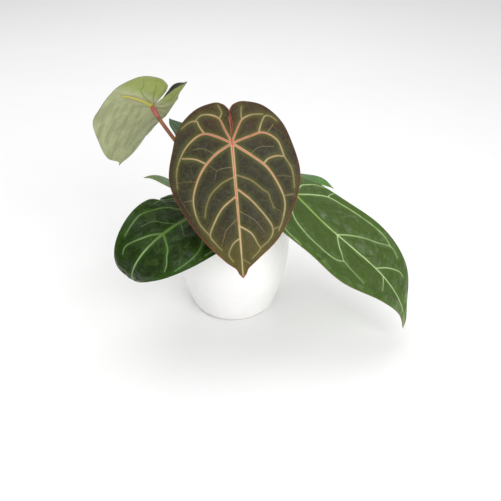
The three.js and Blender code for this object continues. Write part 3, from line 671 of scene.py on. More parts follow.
def upper_looks(graph, finish, blade_length, flat, parts, away, rim):
    """The upper face's colours, with its painted sheen, painted shade in hollows and painted
    highlight spots near the tip, and its dark tone.
    """
    along, body = parts["Y"], finish["body"]
    tissue = graph.mix(graph.step(along, -25, 15, 1.0, 0.0), body, finish["lobe"])
    tissue = graph.mix(graph.step(rim, 1.5, 9.0, 0.75, 0.0), tissue, finish["band"])
    # Painted reflection: pale sheen patches from a noise cloud, mostly on one half.
    if "bloom" in finish:
        cloud = graph.noise(flat, PATCHES, detail=4, roughness=0.6, distortion=1.1)
        sheen = graph.step(cloud, 0.5, 0.64, 0.0, 0.7)
        if "dull_half" in finish:
            inwards = graph.math("MULTIPLY", parts["X"], finish["dull_half"])
            sheen = graph.math("MULTIPLY", sheen, graph.step(inwards, -8, 6, 0.25, 1.0))
        tissue = graph.mix(sheen, tissue, finish["bloom"])
        # Painted shade: darker patches of the body colour in the hollows between the sheen patches.
        hollow = graph.step(cloud, 0.3, 0.43, 0.7, 0.0)
        tissue = graph.mix(hollow, tissue, tinted(body, 0.55))
    near_tip = graph.step(along, finish.get("tip_from", 0.76) * blade_length,
                          finish.get("tip_full", 0.99) * blade_length)
    tissue = graph.mix(near_tip, tissue, finish["tip"])
    # Painted highlight: pale beige spots near the tip.
    if "worn" in finish:
        spots = graph.step(graph.noise(flat, 0.14, detail=3), 0.48, 0.6, 0.0, 0.7)
        spots = graph.math("MULTIPLY", spots, near_tip)
        tissue = graph.mix(spots, tissue, finish["worn"])
    reddened = graph.math("MAXIMUM", graph.step(along, 10, 45), graph.step(away, 6, 14, 1.0, 0.0))
    halo, vein = finish["halo"], finish["vein"]
    colours = {
        "Net Colour": finish["net"], "Halo": halo, "Vein": vein, "Warm": finish["warm"],
        "Faint Vein": blended(halo, vein, 0.3),
        "Line": graph.mix(reddened, finish["lobe_line"], finish["line"])}
    return tissue, colours, tinted(body, 0.6)


def leaf_material(name, leaf, under):
    """The upper or the lower face of one leaf."""
    finish = LEAF_FINISHES[leaf["finish"]]
    roughness = 0.55 if under else finish["roughness"]
    material, graph, shader = new_material(
        name, roughness, Specular_IOR_Level=0.25 if under else finish["gloss"])
    flat = graph.attribute("flat", "Vector")
    values = {key: graph.attribute(key)
              for key in ("edge", "across", "warmth", "clear", "size", "trace", "rim")}
    parts = graph.add("ShaderNodeSeparateXYZ", {"Vector": flat}).outputs
    along = parts["Y"]
    away = graph.math("ABSOLUTE", parts["X"])
    edge, clear, rim = values["edge"], values["clear"], values["rim"]
    if under:
        tissue, colours, dark = under_looks(graph, finish, along, away)
    else:
        tissue, colours, dark = upper_looks(
            graph, finish, leaf["length"], flat, parts, away, rim)
        # Half the width beyond which the upper face hides the flanks of a vein.
        widest = 1.7
        too_wide = graph.math("MULTIPLY_ADD", values["size"], 0.5, -widest)
        edge = graph.math("ADD", edge, graph.math("MAXIMUM", too_wide, 0.0))
        clear = graph.math("POWER", clear, finish.get("above", 1.0))
    wider_line = graph.step(along, 0.95 * leaf["length"], leaf["length"], 0.0, 1.3)
    mottle = graph.group(mottle_group(), {
        "Place": flat, "Scale": PATCHES, "Colour": tissue, "Second": graph.mix(0.5, tissue, dark)})
    net = graph.group(vein_net_group(), {"Place": flat, "Size": 8.0})
    strength = graph.step(graph.noise(flat, 0.07), 0.3, 0.6, 0.72, 1.0)
    paint = graph.group(leaf_paint_group(), {
        **colours, "Tissue": mottle["Colour"], "Edge": edge, "Across": values["across"],
        "Warmth": values["warmth"], "Size": values["size"], "Trace": values["trace"],
        "Fade": finish.get("fade", 0.3), "Spread": finish.get("core", 1.0),
        "Clear": graph.math("MULTIPLY", clear, strength),
        "Rim": graph.math("SUBTRACT", rim, wider_line),
        "Net": graph.math("MULTIPLY", net["Mask"], bpy.context.scene.plant_blades.detail)})
    graph.put(shader["Base Color"], paint["Colour"])
    uneven = graph.math("MULTIPLY_ADD", mottle["Mask"], 0.14, roughness - 0.07)
    graph.put(shader["Roughness"], graph.math("MULTIPLY_ADD", paint["Vein Mask"], -0.06, uneven))
    grain = graph.noise(flat, 2.2, detail=3)
    height = graph.math("MULTIPLY_ADD", net["Mask"], -0.5, graph.math("MULTIPLY", grain, 0.35))
    graph.put(shader["Normal"], graph.bump(height, 0.00022))
    return material


def solid_material(name, base, second, scale, roughness, bump_scale, bump_depth, **constants):
    """A plain uneven finish, for pottery, plastic, bark, roots and scales."""
    material, graph, shader = new_material(name, roughness, **constants)
    place = graph.add("ShaderNodeTexCoord").outputs["Object"]
    mottle = graph.group(mottle_group(), {
        "Place": place, "Scale": scale, "Colour": base, "Second": second})
    graph.put(shader["Base Color"], mottle["Colour"])
    graph.put(shader["Roughness"], graph.math("MULTIPLY_ADD", mottle["Mask"], 0.08, roughness - 0.04))
    relief = graph.noise(place, bump_scale, detail=4)
    graph.put(shader["Normal"], graph.bump(relief, bump_depth))
    return material


def stalk_material(name, base, joint):
    """A stalk with its joint: 'top' is the distance below the blade, in millimetres."""
    material, graph, shader = new_material(name, 0.38)
    top = graph.attribute("top")
    place = graph.add("ShaderNodeTexCoord").outputs["Object"]
    mottle = graph.group(mottle_group(), {
        "Place": place, "Scale": 90.0, "Colour": base, "Second": tinted(base, 0.72)})
    streaks = graph.add("ShaderNodeMapping", {"Vector": place, "Scale": (2200, 2200, 120)})
    fine = graph.noise(streaks.outputs[0], 1.0)
    body = graph.mix(graph.step(fine, 0.45, 0.75, 0.0, 0.35), mottle["Colour"], tinted(base, 1.5))
    coloured = graph.mix(graph.step(top, 11.0, 16.0, 1.0, 0.0), body, joint)
    ring = graph.math("MULTIPLY", graph.step(top, 12.0, 14.5), graph.step(top, 15.5, 20.0, 1.0, 0.0))
    coloured = graph.mix(graph.math("MULTIPLY", ring, 0.6), coloured, tinted(joint, 0.3))
    graph.put(shader["Base Color"], coloured)
    graph.put(shader["Normal"], graph.bump(fine, 0.00012))
    return material


# Meshes

def add_piece(name, points, faces, materials, replaces=(), values=None, parts=None,
              smooth=True):
    """A finished piece that rides on the plant, from points in metres."""
    mesh = bpy.data.meshes.new(name)
    mesh.from_pydata(np.asarray(points).tolist(), [], [list(map(int, face)) for face in faces])
    for material in materials:
        mesh.materials.append(material)
    if parts is not None:
        mesh.polygons.foreach_set("material_index", np.asarray(parts, dtype=np.int32))
    for key, data in (values or {}).items():
        data = np.asarray(data, dtype=np.float32)
        kind, field = ("FLOAT", "value") if data.ndim == 1 else ("FLOAT_VECTOR", "vector")
        mesh.attributes.new(key, kind, "POINT").data.foreach_set(field, data.ravel())
    mesh.update()
    if smooth:
        mesh.shade_smooth()
    piece = bpy.data.objects.new(name, mesh)
    bpy.context.scene.collection.objects.link(piece)
    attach(piece, "root")
    if replaces:
        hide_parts(*replaces)
    return piece


def lathe(profile, segments):
    """Points and faces of a profile of (radius, height) turned round the upright axis."""
    points = []
    rings = []
    for radius, height in profile:
        if radius == 0:
            rings.append([len(points)] * segments)
            points.append((0, 0, height))
            continue
        rings.append(list(range(len(points), len(points) + segments)))
        for i in range(segments):
            angle = 2 * math.pi * i / segments
            points.append((radius * math.cos(angle), radius * math.sin(angle), height))
    faces = []
    for lower, upper in zip(rings, rings[1:]):
        for i in range(segments):
            j = (i + 1) % segments
            corners = [lower[i], lower[j], upper[j], upper[i]]
            face = list(dict.fromkeys(corners))
            if len(face) > 2:
                faces.append(face)
    return points, faces


def arc(centre, radius, start, end, steps):
    """Points of a circular arc as (radius, height) pairs, with angles in degrees."""
    angles = [math.radians(start + (end - start) * i / steps) for i in range(steps + 1)]
    return [(centre[0] + radius * math.cos(a), centre[1] + radius * math.sin(a)) for a in angles]


def tube(path, radii, sides, shape=None):
    """Points and faces of a closed tube along a path. shape(step, angle) scales its radius."""
    path = [Vector(point) for point in path]
    side = (path[1] - path[0]).normalized().orthogonal().normalized()
    points = []
    for i, centre in enumerate(path):
        ahead = (path[min(i + 1, len(path) - 1)] - path[max(i - 1, 0)]).normalized()
        side = (side - ahead * side.dot(ahead)).normalized()
        other = ahead.cross(side)
        for j in range(sides):
            angle = 2 * math.pi * j / sides
            radius = radii[i] * (shape(i, angle) if shape else 1)
            points.append(centre + (side * math.cos(angle) + other * math.sin(angle)) * radius)
    faces = []
    for i in range(len(path) - 1):
        for j in range(sides):
            k = (j + 1) % sides
            faces.append([i * sides + j, i * sides + k, (i + 1) * sides + k, (i + 1) * sides + j])
    faces.append(list(range(sides))[::-1])
    faces.append([(len(path) - 1) * sides + j for j in range(sides)])
    return [tuple(point) for point in points], faces


def join(shapes):
    """Many (points, faces) pairs as one, with the number of each point's shape."""
    points = []
    faces = []
    owner = []
    for number_of, (more_points, more_faces) in enumerate(shapes):
        start = len(points)
        points.extend(more_points)
        faces.extend([[start + i for i in face] for face in more_faces])
        owner.extend([number_of] * len(more_points))
    return points, faces, owner


# Leaf geometry, in millimetres

def smooth_line(knots, per_span):
    """Points of a smooth line through the knots."""
    knots = np.array(knots, dtype=float)
    ends = np.vstack([2 * knots[0] - knots[1], knots, 2 * knots[-1] - knots[-2]])
    t = np.linspace(0, 1, per_span, endpoint=False)[:, None]
    spans = []
    for a, b, c, d in zip(ends, ends[1:], ends[2:], ends[3:]):
        spans.append(0.5 * (2 * b + (c - a) * t + (2 * a - 5 * b + 4 * c - d) * t ** 2
                            + (3 * b - a - 3 * c + d) * t ** 3))
    return np.vstack([*spans, knots[-1:]])


def at_stations(values, where):
    """A smooth value from the four stations along a leaf."""
    knots = np.array(STATIONS)
    values = np.array(values, dtype=float)
    steep = np.empty(4)
    steep[1:3] = (values[2:] - values[:2]) / (knots[2:] - knots[:2])
    steep[0] = (values[1] - values[0]) / (knots[1] - knots[0])
    steep[3] = (values[3] - values[2]) / (knots[3] - knots[2])
    where = np.clip(where, -1, 1)
    i = np.clip(np.searchsorted(knots, where, side="right") - 1, 0, 2)
    span = knots[i + 1] - knots[i]
    t = (where - knots[i]) / span
    return ((2 * t ** 3 - 3 * t ** 2 + 1) * values[i] + (t ** 3 - 2 * t ** 2 + t) * span * steep[i]
            + (3 * t ** 2 - 2 * t ** 3) * values[i + 1] + (t ** 3 - t ** 2) * span * steep[i + 1])


def leaf_axes(leaf):
    """The leaf's own directions: right, towards the tip, and out of the upper face."""
    heading, pitch, roll = np.radians(leaf["turn"])
    tip = np.array([math.cos(pitch) * math.cos(heading), math.cos(pitch) * math.sin(heading),
                    math.sin(pitch)])
    level = np.array([math.sin(heading), -math.cos(heading), 0])
    right = math.cos(roll) * level - math.sin(roll) * np.cross(level, tip)
    return right, tip, np.cross(right, tip)


def bend_blade(leaf, side, x, y, lift):
    """Places in space of flat points on one half. x is the distance from the midrib."""
    half = leaf["right" if side > 0 else "left"]
    lobe_bend = (half.get("back", leaf["bend"][0]), *leaf["bend"][1:])
    share_along = np.where(y < 0, y / leaf["lobe"], y / leaf["length"])
    fold = np.radians(at_stations(half["fold"], share_along))
    twist = np.radians(at_stations(leaf["twist"], share_along))
    roll = 0.5 * np.radians(at_stations(half["cup"], share_along)) * np.abs(x) / (leaf["width"] / 2)
    chord = x * np.sinc(roll / math.pi)
    across = side * chord * np.cos(fold + roll)
    raised = np.abs(chord) * np.sin(fold + roll) + lift
    steps = 120
    stops = np.concatenate([np.linspace(-leaf["lobe"], 0, steps + 1)[:-1],
                            np.linspace(0, leaf["length"], steps + 1)])
    shares = np.where(stops < 0, stops / leaf["lobe"], stops / leaf["length"])
    angles = np.radians(np.where(stops < 0, at_stations(lobe_bend, shares),
                                 at_stations(leaf["bend"], shares)))
    middle = 0.5 * (angles[1:] + angles[:-1])
    step = np.diff(stops)
    ahead = np.concatenate([[0], np.cumsum(np.cos(middle) * step)])
    height = np.concatenate([[0], np.cumsum(np.sin(middle) * step)])
    ahead -= np.interp(0, stops, ahead)
    height -= np.interp(0, stops, height)
    angle = np.interp(y, stops, angles)
    sideways = across * np.cos(twist) + raised * np.sin(twist)
    outwards = raised * np.cos(twist) - across * np.sin(twist)
    right, tip, up = leaf_axes(leaf)
    return (np.array(leaf["at"], dtype=float)
            + sideways[..., None] * right
            + (np.interp(y, stops, ahead) - outwards * np.sin(angle))[..., None] * tip
            + (np.interp(y, stops, height) + outwards * np.cos(angle))[..., None] * up)


def leaf_veins(leaf, side):
    """The veins of one half, with their routes in signed flat coordinates."""
    half = leaf["right" if side > 0 else "left"]
    if "veins" in half:
        listed = half["veins"]
    else:
        listed = []
        for start, end, clear, route in PLAIN_VEINS:
            sized = [(x * leaf["width"] / 2, y * (leaf["lobe"] if y < 0 else leaf["length"]))
                     for x, y in route]
            listed.append((start, end, clear, sized))
    return [(start, end, clear, [(side * x, y) for x, y in route])
            for start, end, clear, route in listed]


def vein_values(leaf, x, y):
    """For each flat point, how it lies to the nearest clear vein and the nearest faint one."""
    far, off_vein, fully_clear, per_span = 30.0, 4.0, 0.9, 12
    values = {"edge": np.full(len(x), far), "across": np.full(len(x), off_vein),
              "warmth": np.zeros(len(x)), "clear": np.zeros(len(x)), "size": np.zeros(len(x)),
              "trace": np.full(len(x), far)}
    warm_width = LEAF_FINISHES[leaf["finish"]].get("warm_width", 0)
    midrib = (*leaf["midrib"], leaf.get("midrib_clear", 1),
              [(0, 0), (0, 0.5 * leaf["length"]), (0, leaf["length"])])
    for start, end, clear, route in [midrib, *leaf_veins(leaf, -1), *leaf_veins(leaf, 1)]:
        line = smooth_line(route, per_span)
        near = ((x > line[:, 0].min() - far) & (x < line[:, 0].max() + far)
                & (y > line[:, 1].min() - far) & (y < line[:, 1].max() + far))
        places = np.stack([x[near], y[near]], axis=1)
        begin, run = line[:-1], np.diff(line, axis=0)
        size = np.maximum((run ** 2).sum(axis=1), 1e-9)
        away = places[:, None, :] - begin[None]
        t = np.clip((away * run[None]).sum(axis=2) / size, 0, 1)
        distance = np.sqrt(((away - t[..., None] * run[None]) ** 2).sum(axis=2))
        nearest = distance.argmin(axis=1)
        rows = np.arange(len(places))
        distance = distance[rows, nearest]
        progress = (nearest + t[rows, nearest]) / len(run)
        half_width = 0.5 * (start + (end - start) * progress)
        edge = distance - half_width
        index = np.flatnonzero(near)
        if clear < TRACE_BELOW:
            closer = edge < values["trace"][index]
            values["trace"][index[closer]] = (edge + (TRACE_BELOW - clear) * 0.6)[closer]
            continue
        closer = edge < values["edge"][index]
        chosen = index[closer]
        # The midrib has points on its middle. A side vein runs between the points of the
        # mesh, so those beside its middle count as on it.
        slack = 0.22 * leaf["spacing"] if abs(route[-1][0]) > 0 else 0
        walked = np.hypot(*route[0]) + progress * np.sqrt(size).sum()
        thick = np.clip(2 * half_width - warm_width, 0, 1)
        warmth = np.clip(1 - walked / leaf["warm_reach"], 0, 1) * thick
        values["edge"][chosen] = edge[closer]
        values["size"][chosen] = 2 * half_width[closer]
        values["clear"][chosen] = min(1, (clear - TRACE_BELOW) / (fully_clear - TRACE_BELOW))
        values["across"][chosen] = (np.maximum(distance - slack, 0) / half_width)[closer]
        values["warmth"][chosen] = warmth[closer]
    return values


def blade_net(leaf):
    """Flat coordinates of both halves, as [half, row, column], and how they came about.

    With them come where each row starts on the midrib, its place in the outline from 0 to 1,
    and each column's share of the way from the midrib to the margin.
    """
    per_span = 60
    outlines = [smooth_line([*leaf[name]["outline"], (0, leaf["length"])], per_span)
                for name in ("left", "right")]
    shortest = min(len(line) for line in outlines)
    spots = np.linspace(0, 1, shortest)
    even = [np.stack([np.interp(spots, np.linspace(0, 1, len(line)), line[:, i]) for i in (0, 1)],
                     axis=1) for line in outlines]
    walked = np.concatenate([[0], np.cumsum(sum(np.hypot(*np.diff(line, axis=0).T)
                                                for line in even) / 2)])
    rows = int(walked[-1] / leaf["spacing"])
    places = np.interp(np.linspace(0, walked[-1], rows + 1), walked, spots)
    edges = np.stack([np.stack([np.interp(places, spots, line[:, i]) for i in (0, 1)], axis=1)
                      for line in even])
    feet = np.maximum(0, edges[:, :, 1].mean(axis=0)) * MIDRIB_LAG
    columns = int(0.5 * leaf["width"] / leaf["spacing"])
    t = np.linspace(0, 1, columns + 1)
    x = edges[:, :, 0, None] * t
    y = feet[None, :, None] + (edges[:, :, 1, None] - feet[None, :, None]) * t
    return x, y, feet, places, t


def smooth_share(value, low, high):
    """0 below low and 1 above high, smooth between."""
    t = np.clip((value - low) / (high - low), 0, 1)
    return t * t * (3 - 2 * t)


def rim_distance(x, y, margin):
    """Distance of each flat point to the nearest one of the margin, some thousand at a time."""
    result = np.empty(len(x))
    batch = 4000
    for start in range(0, len(x), batch):
        part = slice(start, start + batch)
        result[part] = np.sqrt(((x[part, None] - x[margin]) ** 2
                                + (y[part, None] - y[margin]) ** 2).min(axis=1))
    return result


def crinkle(name, x, y):
    """Uneven swelling of a blade, 1 or less for the most part: the same on each run."""
    random_numbers = random.Random(name)
    height = np.zeros(len(x))
    wavelength_of_height_one = 90
    for wavelength in (48, 36, 27, 20, 15):
        angle = random_numbers.uniform(0, math.pi)
        start = random_numbers.uniform(0, math.tau)
        run = x * math.cos(angle) + y * math.sin(angle)
        height += (wavelength / wavelength_of_height_one
                   * np.sin(math.tau * run / wavelength + start))
    return height


def puckers(name, x, y):
    """Small irregular bumps and hollows of a blade, in two sizes."""
    depth = random.Random(name).uniform(0, 50)
    large, small = 0.10, 0.21
    return np.array([noise.noise((large * a, large * b, depth)) + 0.5 * noise.noise(
        (small * a, small * b, depth + 9)) for a, b in zip(x.tolist(), y.tolist())])


def net_triangles(x, feet):
    """Both halves as one sheet: the number of each point, the numbers in use, and triangles.

    The halves share the midrib and the tip, and the triangles count only the points in use.
    """
    rows = x.shape[1] - 1
    numbers = np.arange(x.size).reshape(x.shape)
    numbers[0, feet == 0, 0] = numbers[0, 0, 0]
    numbers[1, :, 0] = numbers[0, :, 0]
    numbers[1, rows, :] = numbers[0, rows, :]
    triangles = []
    for side in (0, 1):
        a, b = numbers[side, :-1, :-1].ravel(), numbers[side, :-1, 1:].ravel()
        c, d = numbers[side, 1:, 1:].ravel(), numbers[side, 1:, :-1].ravel()
        both = np.concatenate([np.stack([a, b, d], axis=1), np.stack([b, c, d], axis=1)])
        triangles.append(both if side else both[:, ::-1])
    triangles = np.concatenate(triangles)
    whole = ((triangles[:, 0] != triangles[:, 1]) & (triangles[:, 1] != triangles[:, 2])
             & (triangles[:, 0] != triangles[:, 2]))
    used, triangles = np.unique(triangles[whole], return_inverse=True)
    return numbers, used, triangles.reshape(-1, 3)


def margin_ring(numbers, used, inset):
    """The sheet's points round its margin, or those so many steps further in."""
    rows, columns = numbers.shape[1] - 1, numbers.shape[2] - 1
    place_in_use = np.full(numbers.size, -1)
    place_in_use[used] = np.arange(len(used))
    right = [*numbers[1, inset, 1:], *numbers[1, 1:, columns - inset]]
    left = [*numbers[0, inset, 1:], *numbers[0, 1:rows, columns - inset]]
    return place_in_use[[numbers[0, 0, 0], *right, *left[::-1]]]


def point_normals(points, triangles):
    """A unit normal at each point of a sheet of triangles."""
    normals = np.zeros_like(points)
    corners = points[triangles]
    facing = np.cross(corners[:, 1] - corners[:, 0], corners[:, 2] - corners[:, 0])
    for i in range(3):
        np.add.at(normals, triangles[:, i], facing)
    return normals / np.linalg.norm(normals, axis=1)[:, None]


def blade_relief(name, leaf, values, x, y, crest):
    """Heights of a blade at each flat point: its swelling, ripples, clear veins and traces."""
    quilt = bpy.context.scene.plant_blades.quilt / MM * leaf["relief"]
    vein_slope, rim_slope = 5.5, 9
    vein_height, trace_depth, trace_width = 0.3, 0.12, 0.7
    swell = quilt * (1 - np.exp(-(np.maximum(values["edge"], 0) / vein_slope) ** 2))
    swell *= smooth_share(values["rim"], 0, rim_slope)
    ripple = 0.6 * quilt * crinkle(name, x, y)
    crumple = 1 + leaf.get("crumple", 0) * smooth_share(y / leaf["length"], 0.72, 0.95)
    ripple += LEAF_FINISHES[leaf["finish"]].get("pucker", 0.4) * crumple * puckers(name, x, y)
    inner = smooth_share(values["edge"], 0, 3) * smooth_share(values["rim"], 0, 6)
    trace = trace_depth * np.exp(-(values["trace"] / trace_width) ** 2)
    return swell, ripple * inner, vein_height * crest, trace


def closed_faces(triangles, loop, count):
    """Faces of the upper sheet, the lower sheet and the bead between them, and which are below."""
    bead_loop = np.arange(len(loop)) + 2 * count
    strips = []
    for upper, lower in ((loop, bead_loop), (bead_loop, loop + count)):
        next_upper, next_lower = np.roll(upper, -1), np.roll(lower, -1)
        strips.append(np.stack([upper, lower, next_upper], axis=1))
        strips.append(np.stack([next_upper, lower, next_lower], axis=1))
    faces = np.concatenate([triangles, triangles[:, ::-1] + count, *strips])
    parts = np.zeros(len(faces), dtype=np.int32)
    parts[len(triangles):2 * len(triangles)] = 1
    return faces, parts


def make_blade(name, leaf):
    """One blade: fine upper and lower faces with raised veins, joined round the margin."""
    settings = bpy.context.scene.plant_blades
    thickness, ridge = settings.thickness / MM, settings.ridge / MM
    x, y, feet, places, t = blade_net(leaf)
    spans = len(leaf["left"]["outline"])
    overlap = leaf["right"].get("overlap", 0)
    sinus_spans = 0.9
    near_sinus = np.exp(-(places * spans / sinus_spans) ** 2)
    x[1] -= overlap * near_sinus[:, None] * smooth_share(t, 0.15, 0.55) * (1 - t ** 3)
    numbers, used, triangles = net_triangles(x, feet)

    flat_x, flat_y = np.stack([-x[0], x[1]]).ravel()[used], y.ravel()[used]
    side_of = np.repeat([-1, 1], x[0].size)[used]
    from_midrib = x.ravel()[used]
    values = vein_values(leaf, flat_x, flat_y)
    loop, inside = margin_ring(numbers, used, 0), margin_ring(numbers, used, 1)
    values["rim"] = rim_distance(flat_x, flat_y, loop)

    waves_per_span, full_width = 2.6, 20
    waving = np.sin(places * spans * waves_per_span)[None, :, None]
    wave = leaf["wave"] * t ** 3 * waving * np.minimum(1, abs(x[:, :, -1:]) / full_width)
    crest = np.clip(1 - values["across"] ** 2, 0, 1) * smooth_share(values["rim"], 0, 3)
    swell, ripple, vein, trace = blade_relief(name, leaf, values, flat_x, flat_y, crest)
    lift = wave.ravel()[used] + swell + ripple + vein - trace
    if overlap:
        over, under = 1.5, -0.3
        crossing = np.exp(-((flat_x + 2) / 9) ** 2) * smooth_share(-flat_y, 4, 14)
        lift += np.where(side_of > 0, over, under) * crossing

    # The thickness is laid along the smooth blade's normals, so that the lower face doesn't
    # fold over itself where the upper one is rough.
    surface = np.empty((len(used), 3))
    plain = np.empty_like(surface)
    for side in (-1, 1):
        mine = side_of == side
        surface[mine] = bend_blade(leaf, side, from_midrib[mine], flat_y[mine], lift[mine])
        plain[mine] = bend_blade(leaf, side, from_midrib[mine], flat_y[mine], 0)
    depth = thickness + ridge * crest * np.clip(0.3 - values["edge"], 0, 2) / 2
    below = surface - point_normals(plain, triangles) * depth[:, None]

    outwards = surface[loop] - surface[inside]
    outwards /= np.maximum(np.linalg.norm(outwards, axis=1), 1e-6)[:, None]
    bead = 0.5 * (surface[loop] + below[loop]) + outwards * 0.3 * thickness

    count = len(used)
    faces, parts = closed_faces(triangles, loop, count)
    values["flat"] = np.stack([flat_x, flat_y, np.zeros(count)], axis=1)
    values = {key: np.concatenate([data, data, data[loop]]) for key, data in values.items()}
    values["rim"][2 * count:] = 0
    materials = [leaf_material(f"{name}_upper", leaf, under=False),
                 leaf_material(f"{name}_under", leaf, under=True)]
    points = np.concatenate([surface, below, bead]) * MM
    add_piece(f"leaf_{name}", points, faces, materials,
              replaces=[f"blade_{name}"], values=values, parts=parts)


def make_stalk(name, leaf, material):
    """One stalk: a sheath at its foot, a groove along it, and a wrinkled joint at its top."""
    stalk = leaf["stalk"]
    _, _, up = leaf_axes(leaf)
    junction = np.array(leaf["at"], dtype=float)
    root = np.array(stalk["root"], dtype=float)
    rise = np.array(stalk["rise"], dtype=float)
    sunk, below_blade, rings, sides = 2, 1.2, 90, 24
    controls = [root - sunk * rise / np.linalg.norm(rise), root + rise,
                junction - stalk["reach"] * up, junction - below_blade * up]
    t = np.linspace(0, 1, rings)[:, None]
    path = ((1 - t) ** 3 * controls[0] + 3 * t * (1 - t) ** 2 * controls[1]
            + 3 * t ** 2 * (1 - t) * controls[2] + t ** 3 * controls[3])
    walked = np.concatenate([[0], np.cumsum(np.linalg.norm(np.diff(path, axis=0), axis=1))])
    from_top = walked[-1] - walked
    radius = stalk["radius"]
    swelling = 0.2 * radius * np.exp(-((from_top - 7) / 6.5) ** 2)
    wrinkles = 0.05 * np.sin(from_top * 3.6) * np.exp(-((from_top - 8) / 5) ** 2)
    sheath = 0.5 * radius * np.exp(-walked / 12)
    radii = (radius + swelling + wrinkles + sheath) * MM

    def grooved(step, angle):
        along = smooth_share(walked[step], 4, 25) * smooth_share(from_top[step], 12, 25)
        return 1 - 0.14 * along * math.exp(-((math.remainder(angle, math.tau)) / 0.5) ** 2)

    points, faces = tube(path * MM, radii, sides, grooved)
    add_piece(f"leafstalk_{name}", points, faces, [material], replaces=[f"stalk_{name}"],
              values={"top": np.repeat(from_top, sides)})


# Potting mix and what is in it, in metres

def crumb(size, random_numbers, rough):
    """Points and faces of one irregular lump: a small sphere, squeezed and roughened."""
    bumps = 2.6
    ball = bmesh.new()
    bmesh.ops.create_icosphere(ball, subdivisions=2, radius=0.5)
    shift = Vector((random_numbers.random(), random_numbers.random(), random_numbers.random())) * 40
    points = []
    for vert in ball.verts:
        bulge = 1 + rough * noise.noise(vert.co * bumps + shift)
        points.append(Vector((vert.co.x * size[0], vert.co.y * size[1], vert.co.z * size[2])) * bulge)
    faces = [[vert.index for vert in face.verts] for face in ball.faces]
    ball.free()
    return points, faces


def scatter(count, radius, random_numbers):
    """Places spread evenly over a disc that leaves the stem free."""
    stem_radius = 0.013
    places = []
    for _ in range(count):
        distance = math.sqrt(random_numbers.uniform(stem_radius ** 2, radius ** 2))
        angle = random_numbers.uniform(0, math.tau)
        places.append((distance * math.cos(angle), distance * math.sin(angle)))
    return places


def bed_height(x, y):
    """Height of the bed of mix."""
    hill, crumb_height = 0.0022, 0.0011
    hills = hill * noise.noise(Vector((x, y, 0)) * 70)
    crumbs = crumb_height * noise.noise(Vector((x, y, 0.3)) * 330)
    return MIX_HIGH.z - hill + hills + crumbs


def laid_crumb(size, x, y, rough, random_numbers, tilt):
    """One lump, turned and laid on the bed."""
    points, faces = crumb(size, random_numbers, rough)
    turn = Vector((0, 0, 1)).rotation_difference(Vector((
        random_numbers.uniform(-tilt, tilt), random_numbers.uniform(-tilt, tilt), 1)))
    spin = random_numbers.uniform(0, math.tau)
    cosine, sine = math.cos(spin), math.sin(spin)
    lift = size[2] * random_numbers.uniform(0.15, 0.5)
    height = bed_height(x, y) + lift
    laid = []
    for point in points:
        p = Vector((point.x * cosine - point.y * sine, point.x * sine + point.y * cosine, point.z))
        p.rotate(turn)
        laid.append((p.x + x, p.y + y, p.z + height))
    return laid, faces


def bark_material(settings):
    """Bark whose pieces differ in shade, with a fibrous grain."""
    material, graph, shader = new_material("bark", 0.85)
    place = graph.add("ShaderNodeTexCoord").outputs["Object"]
    mottle = graph.group(mottle_group(), {
        "Place": place, "Scale": 260.0, "Colour": tuple(settings.bark),
        "Second": tinted(settings.bark, 0.5)})
    shade = graph.attribute("shade")
    dark = graph.mix(graph.step(shade, 0.35, 0.9), mottle["Colour"], tinted(settings.bark, 0.3))
    light = graph.mix(graph.step(shade, 0.0, 0.3, 0.6, 0.0), dark, tinted(settings.bark, 1.7))
    graph.put(shader["Base Color"], light)
    stretched = graph.add("ShaderNodeMapping", {"Vector": place, "Scale": (1600, 300, 900)})
    graph.put(shader["Normal"], graph.bump(graph.noise(stretched.outputs[0], 1.0, 3), 0.0006))
    return material


def make_bed(settings, edge):
    """The plug of mix with its lumpy top, which falls off towards the pot's wall."""
    foot_radius, skirt, skirt_height = 0.0445, 0.0005, 0.095
    rings, segments = 56, 120
    rounded_from, drop = 0.94, 0.0025
    points = [(0, 0, bed_height(0, 0))]
    for i in range(1, rings + 1):
        radius = edge * i / rings
        for j in range(segments):
            angle = math.tau * j / segments
            x, y = radius * math.cos(angle), radius * math.sin(angle)
            fall = drop * max(0, i / rings - rounded_from) / (1 - rounded_from)
            points.append((x, y, bed_height(x, y) - fall))
    for radius, height in ((edge - skirt, skirt_height), (foot_radius, MIX_LOW.z)):
        for j in range(segments):
            angle = math.tau * j / segments
            points.append((radius * math.cos(angle), radius * math.sin(angle), height))
    faces = [[0, 1 + j, 1 + (j + 1) % segments] for j in range(segments)]
    for i in range(rings + 1):
        for j in range(segments):
            k = (j + 1) % segments
            base = 1 + i * segments
            faces.append([base + j, base + segments + j, base + segments + k, base + k])
    last = 1 + (rings + 1) * segments
    faces.append([last + j for j in range(segments)][::-1])
    soil = solid_material(
        "dark_soil", settings.soil, tinted(settings.soil, 0.45), scale=320.0, roughness=0.95,
        bump_scale=900.0, bump_depth=0.0012)
    add_piece("mix_bed", points, faces, [soil], replaces=["potting_mix"])


def make_bark(settings, edge, random_numbers):
    """Flat chips of bark, each with a shade of its own."""
    chips = []
    for x, y in scatter(settings.bark_chips, edge - 0.004, random_numbers):
        longest = settings.bark_length * random_numbers.uniform(0.35, 1.0)
        size = (longest, longest * random_numbers.uniform(0.4, 0.7),
                longest * random_numbers.uniform(0.18, 0.36))
        chips.append(laid_crumb(size, x, y, 0.9, random_numbers, tilt=0.45))
    points, faces, owner = join(chips)
    bark = bark_material(settings)
    shades = [random_numbers.random() for _ in chips]
    add_piece("bark_chips", points, faces, [bark],
              values={"shade": [shades[i] for i in owner]}, smooth=False)


